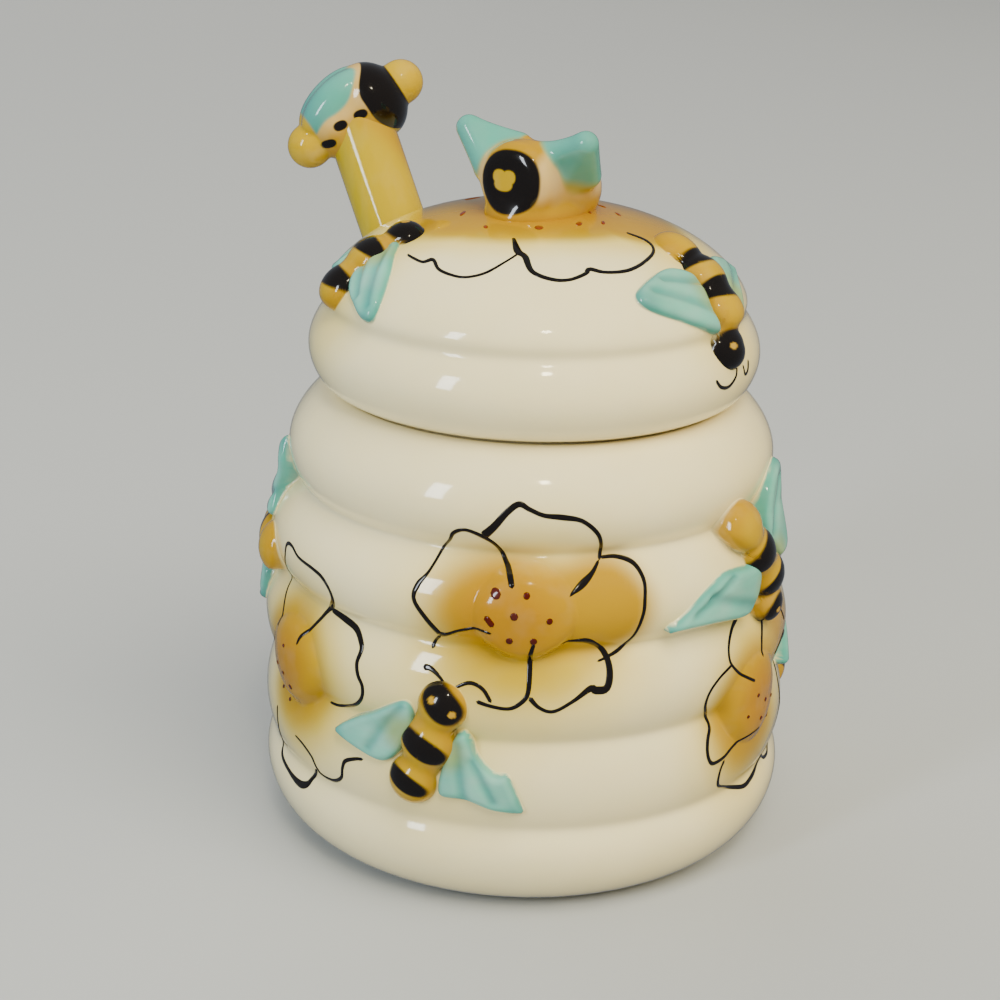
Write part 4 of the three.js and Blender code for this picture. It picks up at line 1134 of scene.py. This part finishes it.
# %% Lines and dots on the lid
# As on the pot, but with the distance from the axis in place of the height. The curls in front
# of two bees are in millimetres about the bee.
LID_LINES = [
    [(-53.2, 32.8, 0.5), (-48.0, 33.2, 0.6), (-43.0, 33.4, 0.6), (-40.1, 32.3, 0.8),
     (-34.9, 34.2, 0.7), (-28.8, 35.0, 0.6), (-23.6, 35.0, 0.5), (-17.8, 33.4, 0.5),
     (-12.4, 30.0, 0.4), (-8.5, 27.3, 0.4)],
    [(-13.6, 21.4, 0.5), (-8.8, 26.4, 1.3), (-5.4, 28.0, 1.1), (-2.1, 32.2, 0.9), (4.5, 34.1, 0.8),
     (10.4, 34.2, 0.7), (16.5, 32.8, 0.8), (18.4, 31.7, 0.9), (23.7, 32.8, 0.7), (32.8, 32.9, 0.8),
     (43.7, 31.2, 0.8), (53.0, 29.1, 0.8), (56.8, 26.2, 0.6), (54.0, 22.0, 0.4)],
]
LID_DOTS = [(-73.5, 16.3, 1.7), (-35.7, 18.3, 1.2), (0.2, 16.0, 1.9), (33.7, 14.8, 1.7),
            (73.7, 11.0, 1.2), (53.5, 16.4, 1.3), (85.9, 16.6, 1.2), (108.3, 14.1, 1.0),
            (140.0, 17.0, 1.4), (-160.0, 15.6, 1.5), (175.0, 19.0, 1.2), (-130.0, 18.4, 1.3)]
CURLS = [[(-1.4, 16.4, 0.4), (-0.9, 18.6, 0.5), (1.6, 20.6, 0.6), (4.6, 20.6, 0.6),
          (6.6, 19.2, 0.6)],
         [(-4.2, 16.2, 0.4), (-5.4, 18.2, 0.5), (-6.8, 17.6, 0.6), (-7.4, 15.2, 0.5)]]
DOME_MIDDLE_RADIUS = 30.0


def on_dome(spots):
    """Azimuth and distance from the axis as millimetres about a place on the front of the dome."""
    place = (0.0, float(lid_along(DOME_MIDDLE_RADIUS)))
    spots = np.asarray(spots, float)
    s = lid_along(spots[:, 1])
    x = np.radians(spots[:, 0]) * np.interp(s, LID.s, LID.r)
    return place, np.stack([x, place[1] - s, spots[:, 2]], 1)


sheets = [stroke(LID_SIDE, *on_dome(line), BLACK) for line in LID_LINES]
for azimuth, radius, size in LID_DOTS:
    spread = np.degrees(0.5 * size / radius)
    dot = on_dome([(azimuth - spread, radius, size), (azimuth + spread, radius, size)])
    sheets.append(stroke(LID_SIDE, *dot, RUST, sides=14, press=1.2))
for name in ("lid_right_bee", "lid_back_bee"):
    middle, elevation, heading = LID_BEES[name]
    place = (middle, lid_place(elevation))
    sheets += [stroke(LID_SIDE, place, line, BLACK, heading=heading) for line in CURLS]
build("lid_petal_lines", sheets, LINE_GLAZE, "lid")
print("lid lines:", len(sheets))

# %% [markdown]
# ## The knob
# The knob is a bee modelled in the round, with a flat painted face, a foot that spreads onto the
# dome and two wings that rise like ears. All of it can be seen from one point in its middle, so
# the surface is found along rays from that point: on each ray, the place where the distance to
# the joined forms is nought, by halving the interval again and again on all rays at once.

# %% Forms in the round


def ball(p, centre, radius):
    """Distance to an ellipsoid: k0 (k0 - 1) / k1, with k0 = |p / r| and k1 = |p / r^2|."""
    q = (p - centre) / radius
    k0 = np.linalg.norm(q, axis=-1)
    return k0 * (k0 - 1) / np.maximum(np.linalg.norm(q / radius, axis=-1), 1e-9)


def drum(p, half, radius, soften):
    """Distance to a round bar along the first axis, with its edges rounded by soften."""
    side = np.hypot(p[..., 1], p[..., 2]) - radius + soften
    end = np.abs(p[..., 0]) - half + soften
    outer = np.hypot(np.maximum(side, 0), np.maximum(end, 0))
    return outer + np.minimum(np.maximum(side, end), 0) - soften


def slab(p, a, b, c, thick):
    """Distance to a triangle with corners a, b, c, less half a thickness: a leaf of clay. Inside
    the prism over the triangle it is the distance to its plane, otherwise to its nearest edge."""
    a, b, c = (np.asarray(v, float) for v in (a, b, c))
    normal = np.cross(b - a, c - a)
    inside = np.ones(p.shape[:-1], bool)
    near = np.full(p.shape[:-1], np.inf)
    for u, v in ((a, b), (b, c), (c, a)):
        inside &= (p - u) @ np.cross(normal, v - u) > 0
        t = np.clip(((p - u) @ (v - u)) / ((v - u) @ (v - u)), 0, 1)
        near = np.minimum(near, np.linalg.norm(p - u - t[..., None] * (v - u), axis=-1))
    flat = np.abs((p - a) @ normal) / np.linalg.norm(normal)
    return np.where(inside, flat, near) - thick


# %% Surfaces found along rays
RAY_COLUMNS, RAY_ROWS, RAY_REACH, HALVINGS = 400, 220, 40.0, 26


def rounded(distance):
    """Surface of a form seen whole from the origin: rows of points from one pole to the other,
    and the two poles."""
    down = (np.arange(RAY_ROWS) + 0.5) * np.pi / RAY_ROWS
    turn = np.arange(RAY_COLUMNS) * 2 * np.pi / RAY_COLUMNS
    out = np.stack([np.cos(down)[:, None] + 0 * turn, np.sin(down)[:, None] * np.cos(turn),
                    np.sin(down)[:, None] * np.sin(turn)], -1)
    out = np.concatenate([out.reshape(-1, 3), [[1.0, 0, 0], [-1.0, 0, 0]]])
    low, high = np.zeros(len(out)), np.full(len(out), RAY_REACH)
    for _ in range(HALVINGS):
        half = (low + high) / 2
        outside = distance(out * half[:, None]) > 0
        low, high = np.where(outside, low, half), np.where(outside, half, high)
    points = out * low[:, None]
    return points[:-2].reshape(RAY_ROWS, RAY_COLUMNS, 3), points[-2], points[-1]


def in_the_round(name, form, tint, axes, body):
    """A form from its distance function and its colours. They are worked out in its own front,
    side and up, and axes is the place of its middle and those three directions."""
    middle, front, side, up = axes
    rows, *ends = rounded(form)
    set_in, *set_ends = (middle + p[..., :1] * front + p[..., 1:2] * side + p[..., 2:] * up
                         for p in (rows, *ends))
    build(name, [(*skin(set_in, *set_ends), tints(tint(rows)))], AMBER_GLAZE, body,
          [f"{name}_{part}" for part in ("body", "left_wing", "right_wing")])
    print(name, "reaches", set_in[..., 2].max().round(1), "mm")


# %% The knob bee
KNOB_HEADING, KNOB_AXIS = -31.0, 6.9
KNOB_AXES = (np.array([0.0, 0.0, LID_TOP + KNOB_AXIS]), polar(KNOB_HEADING, 1.0, 0.0),
             polar(KNOB_HEADING + 90, 1.0, 0.0), np.array([0.0, 0.0, 1.0]))
# Each ear: its tip, its low corner, its top corner and the corner underneath.
LEFT_EAR = ((5.5, -14.0, 8.5), (7.0, -8.4, 1.4), (1.3, -4.6, 5.6), (-1.5, -7.0, -1.0))
RIGHT_EAR = ((5.5, 13.8, 8.4), (-0.4, 11.2, 1.0), (5.0, 5.2, 5.2), (1.5, 6.5, -1.0))


def ear(p, tip, low, top, under):
    """A wing like an ear: two leaves of clay that share the edge from its tip to its low corner."""
    return soft_min(slab(p, tip, low, top, 1.9), slab(p, tip, low, under, 1.9), 1.2)


def knob_form(p):
    """Body and foot joined softly, then the two ears. p is front, side, up."""
    head = drum(p - [8.0, 0.0, 0.0], 3.2, 7.0, 2.4)
    rear = ball(p, np.array([-1.0, 0.0, -1.6]), np.array([10.4, 6.6, 6.6]))
    body = soft_min(head, rear, 2.0)
    for hand in (-1, 1):
        flank = ball(p, np.array([-4.6, hand * 4.4, -3.0]), np.array([6.2, 6.2, 6.0]))
        body = soft_min(body, flank, 1.6)
    foot = ball(p, np.array([0.0, 0, -7.8]), np.array([13.2, 9.6, 3.8]))
    form = soft_min(body, foot, 2.2)
    for corners in (LEFT_EAR, RIGHT_EAR):
        form = soft_min(form, ear(p, *corners), 2.2)
    return form


def knob_tint(p):
    """Amber foot that runs into the lid, peach flanks, amber back, teal ears with olive roots and
    painted shade along a crease, and a black face with a yellow heart."""
    front, side, up = p[..., 0], p[..., 1], p[..., 2]
    paint = coated(np.broadcast_to(PEACH, p.shape), (AMBER, 1 - ease(-5.4, -1.6, up)),
                   (ORANGE, 0.4 * (1 - ease(-8, -5, up))),
                   (AMBER, ease(2.4, 4.6, up) * (1 - ease(5.0, 7.0, np.abs(side)))))
    for corners in (LEFT_EAR, RIGHT_EAR):
        leaf = (1 - ease(0.6, 1.7, ear(p, *corners))) * ease(4.6, 5.6, np.abs(side) + 0.3 * up)
        # On each ear, the deep teal along a groove is painted shade.
        paint = coated(paint, (OLIVE, 0.85 * leaf),
                       (TEAL, leaf * ease(0.5, 4.0, up + 0.25 * np.abs(side))),
                       (DEEP_TEAL, 0.5 * leaf * groove(side, up, (6, 2, 12, 5, 1.6))))
    face = ease(6.8, 7.6, front)
    heart = np.maximum(patch(side, up, -2.2, 0.9, 1.5, 1.4), patch(side, up, 0.0, 0.9, 1.5, 1.4))
    heart = np.maximum(heart, patch(side, up, -1.2, -0.5, 2.1, 1.5))
    return coated(paint, (BLACK, face * patch(side, up, 0.15, 0.0, 6.7, 6.5, edge=0.04)),
                  (SUNNY, face * heart))


in_the_round("knob_bee", knob_form, knob_tint, KNOB_AXES, "lid")

# %% [markdown]
# ## The dipper
# The dipper is turned: a ribbed head that holds the honey and a round stem. It is yellow, a
# little deeper on one side, with amber sprayed where the bee sits.

# %% Turn the dipper
HEAD_RADIUS, HEAD_TIP_RADIUS, HEAD_LENGTH, HEAD_SHOULDER = 11.0, 7.0, 36.0, 5.0
RIB_COUNT, RIB_DEPTH = 5, 2.6
DIPPER_COLUMNS, DIPPER_ROUND = 96, 0.5


def dipper_profile():
    """A half-round tip, ribs whose radius follows the square root of half a sine, and the stem."""
    turn = np.linspace(0, np.pi / 2, 14)
    tip = np.stack([HEAD_TIP_RADIUS * np.sin(turn), -HEAD_TIP_RADIUS * np.cos(turn)], 1)
    pitch = (HEAD_LENGTH - HEAD_TIP_RADIUS - HEAD_SHOULDER) / RIB_COUNT
    ribs = []
    for rib in range(RIB_COUNT):
        swell = np.sqrt(np.sin(np.pi * (rib + 1) / (RIB_COUNT + 1)))
        radius = mix(HEAD_TIP_RADIUS, HEAD_RADIUS, swell)
        ribs += [[radius, (rib + 0.25) * pitch], [radius, (rib + 0.6) * pitch],
                 [radius - RIB_DEPTH, (rib + 0.8) * pitch]]
    end = STEM_LENGTH - 1.0
    stem = [[STEM_RADIUS, HEAD_LENGTH - HEAD_TIP_RADIUS], [STEM_RADIUS, end], [0, end]]
    return np.concatenate([tip, ribs, stem])


DIPPER = Wall(dipper_profile(), DIPPER_ROUND)
end = DIPPER.s[-1]
s = steps([(1.0, 60.0, 0.6), (60.0, end - 9, 1.2), (end - 9, end - 1, 0.8)])
r, z, _, _ = DIPPER.at(s)
round_it = np.arange(DIPPER_COLUMNS) * 2 * np.pi / DIPPER_COLUMNS
x, y = r[:, None] * np.cos(round_it), r[:, None] * np.sin(round_it)
up = z[:, None] + 0 * x
sprayed_end = ease(STEM_LENGTH - 15, STEM_LENGTH - 5, up - 1.2 * x)
paint = coated(np.broadcast_to(LEMON, (*x.shape, 3)), (SUNNY, 0.4 * ease(-2, 6, y)),
               (AMBER, 0.8 * sprayed_end))
rows = on_stem(x, y, up)
sheet = (*skin(rows, on_stem(0, 0, DIPPER.z[0]), on_stem(0, 0, DIPPER.z[-1])), tints(paint))
build("turned_dipper", [sheet], YELLOW_GLAZE, "dipper", ["dipper"])
print("dipper grid:", rows.shape[:2])

# %% [markdown]
# ## The bee on the dipper
# A second bee in the round lies across the top of the stem: a fat body with a ball for its nose
# and another for its tail, a broad black collar, teal wings folded over its back and three dark
# dashes down its side.

# %% The dipper's bee
BEE_HEADING, BEE_CLIMB, BEE_LENGTH, BEE_RADIUS, BEE_BALL = 105.0, 34.0, 24.0, 7.8, 4.7
BEE_FRONT = polar(BEE_HEADING, math.cos(math.radians(BEE_CLIMB)), math.sin(math.radians(BEE_CLIMB)))
BEE_SIDE = np.cross(BEE_FRONT, [0, 0, 1]) / np.linalg.norm(np.cross(BEE_FRONT, [0, 0, 1]))
BEE_AXES = (TIP + STEM * STEM_LENGTH, BEE_FRONT, BEE_SIDE, np.cross(BEE_SIDE, BEE_FRONT))
CHEST_MIDDLE, CHEST_HALVES = np.array([4.6, 0.0, 0.3]), np.array([6.6, 8.3, 8.6])
WING_MIDDLE, WING_HALVES = np.array([-2.8, 2.3, 5.2]), np.array([8.8, 4.0, 4.1])
WING_LEAN = math.radians(-13)
DASHES = [(0.4, 1.2), (-4.6, 1.6), (-8.9, -0.6)]


def folded_wing(p, hand):
    """Distance to a wing folded along the back: an egg that leans down towards the tail."""
    q = p - WING_MIDDLE * [1, hand, 1]
    c, s = math.cos(WING_LEAN), math.sin(WING_LEAN)
    q = np.stack([c * q[..., 0] - s * q[..., 2], q[..., 1], s * q[..., 0] + c * q[..., 2]], -1)
    return ball(q, np.zeros(3), WING_HALVES)


def both_wings(p):
    """The two folded wings, melted together along the back."""
    return soft_min(folded_wing(p, -1), folded_wing(p, 1), 1.8)


def bee_form(p):
    """A blunt body, nose ball, tail ball and two folded wings. p is front, side, up."""
    form = soft_min(drum(p, 10.6, BEE_RADIUS - 0.4, 5.6), ball(p, CHEST_MIDDLE, CHEST_HALVES), 1.5)
    for end in (1, -1):
        centre = np.array([end * (BEE_LENGTH / 2 + 0.4), 0, 0])
        form = soft_min(form, ball(p, centre, np.full(3, BEE_BALL + 0.2)), 0.7)
    return soft_min(form, both_wings(p), 0.5)


def bee_tint(p):
    """Butter-yellow balls, amber body, peach towards the top, painted shade in olive underneath,
    black collar, teal wings and dark dashes.
    """
    front, side, up = p[..., 0], p[..., 1], p[..., 2]
    leaf = 1 - ease(0.1, 0.45, both_wings(p))
    collar = front - 2.2 - 0.07 * np.minimum(up, 0.0) ** 2 - 0.16 * np.maximum(up - 3.5, 0.0) ** 2
    nose = np.hypot(np.hypot(side, up), front - BEE_LENGTH / 2 - 0.4)
    # The olive under the body is painted shade.
    paint = coated(np.broadcast_to(AMBER, p.shape), (PEACH, 0.8 * ease(-1, 4, up)),
                   (OLIVE, 0.6 * (1 - ease(-6, -3, up))), (TEAL, leaf),
                   (DEEP_TEAL, 0.5 * leaf * (1 - ease(-9, -2, front))),
                   (BLACK, ease(0.0, 0.4, collar)),
                   (BUTTER, (1 - ease(5.1, 5.4, nose)) * ease(9.3, 9.7, front)),
                   (BUTTER, 1 - ease(-10.4, -9.6, front)))
    for place in DASHES:
        paint = over(paint, BLACK, patch(front, up, *place, 1.6, 1.05, -10))
    return paint


in_the_round("dipper_bee", bee_form, bee_tint, BEE_AXES, "dipper")

# %% [markdown]
# ## Floor and light
# A plain pale table and soft studio light. A window on the left and a bulb high in front show in
# the glaze as its sharp highlights. The other lamps are large and only shade the forms: one over
# the pot, a cool one on the left, a warm one on the right and one behind. They and the table are
# kept out of mirror reflections, because a large pale reflection would veil the ambers.

# %% Table
TABLE_GREY, TABLE_ROUGHNESS = colour("#aeb1b4"), 0.6


def floor():
    """A pale table top, wide enough to reach past every view, just under the pot."""
    half, drop = 12000.0, -0.05
    corners = [(-half, -half, drop), (half, -half, drop), (half, half, drop), (-half, half, drop)]
    mesh = bpy.data.meshes.new("table")
    mesh.from_pydata([tuple(MM * v for v in corner) for corner in corners], [], [(0, 1, 2, 3)])
    material = bpy.data.materials.new("pale_table")
    material.use_nodes = True
    shader = material.node_tree.nodes["Principled BSDF"]
    shader.inputs["Base Color"].default_value = (*TABLE_GREY, 1)
    shader.inputs["Roughness"].default_value = TABLE_ROUGHNESS
    mesh.materials.append(material)
    table = bpy.data.objects.new("table", mesh)
    bpy.context.scene.collection.objects.link(table)
    table.visible_glossy = False


floor()
print("table laid")

# %% Lamps and sky
SKY_COLOUR, SKY_STRENGTH = (0.80, 0.88, 1.0, 1), 0.22
# Each lamp: its name, azimuth, elevation, distance, width, height, power in watts, colour, and
# whether it shows in the glaze. Sizes are in metres.
LAMPS = [
    ("window", -44, 22, 1.5, 0.20, 0.62, 11.0, (0.86, 0.93, 1.0), True),
    ("bulb", 8, 50, 1.5, 0.10, 0.10, 2.6, (1.0, 0.90, 0.62), True),
    ("ceiling", 32, 56, 2.4, 2.0, 2.0, 98.0, (1.0, 0.94, 0.74), False),
    ("left_room", -96, 10, 2.0, 1.6, 1.6, 20.0, (0.50, 0.70, 1.0), False),
    ("side_room", 78, 24, 2.4, 1.6, 1.6, 22.0, (1.0, 0.86, 0.60), False),
    ("back_room", 205, 38, 2.4, 2.4, 2.4, 38.0, (1.0, 0.94, 0.80), False),
]


def lamp(name, azimuth, elevation, distance, wide, tall, power, tint, shown):
    """A soft lamp in a direction from the pot, turned to face its middle."""
    data = bpy.data.lights.new(name, "AREA")
    data.shape, data.size, data.size_y = "RECTANGLE", wide, tall
    data.energy, data.color = power, tint
    climb = math.radians(elevation)
    back = polar(azimuth, math.cos(climb), math.sin(climb))
    right = np.cross([0, 0, 1], back)
    right = right / np.linalg.norm(right)
    light = set_up(name, data, right, np.cross(back, right), back, back * distance + [0, 0, 0.08])
    light.visible_glossy = shown


for values in LAMPS:
    lamp(*values)
world = bpy.data.worlds.new("studio")
bpy.context.scene.world = world
world.use_nodes = True
sky = world.node_tree.nodes["Background"]
sky.inputs["Color"].default_value = SKY_COLOUR
sky.inputs["Strength"].default_value = SKY_STRENGTH
print("lamps:", len(LAMPS))
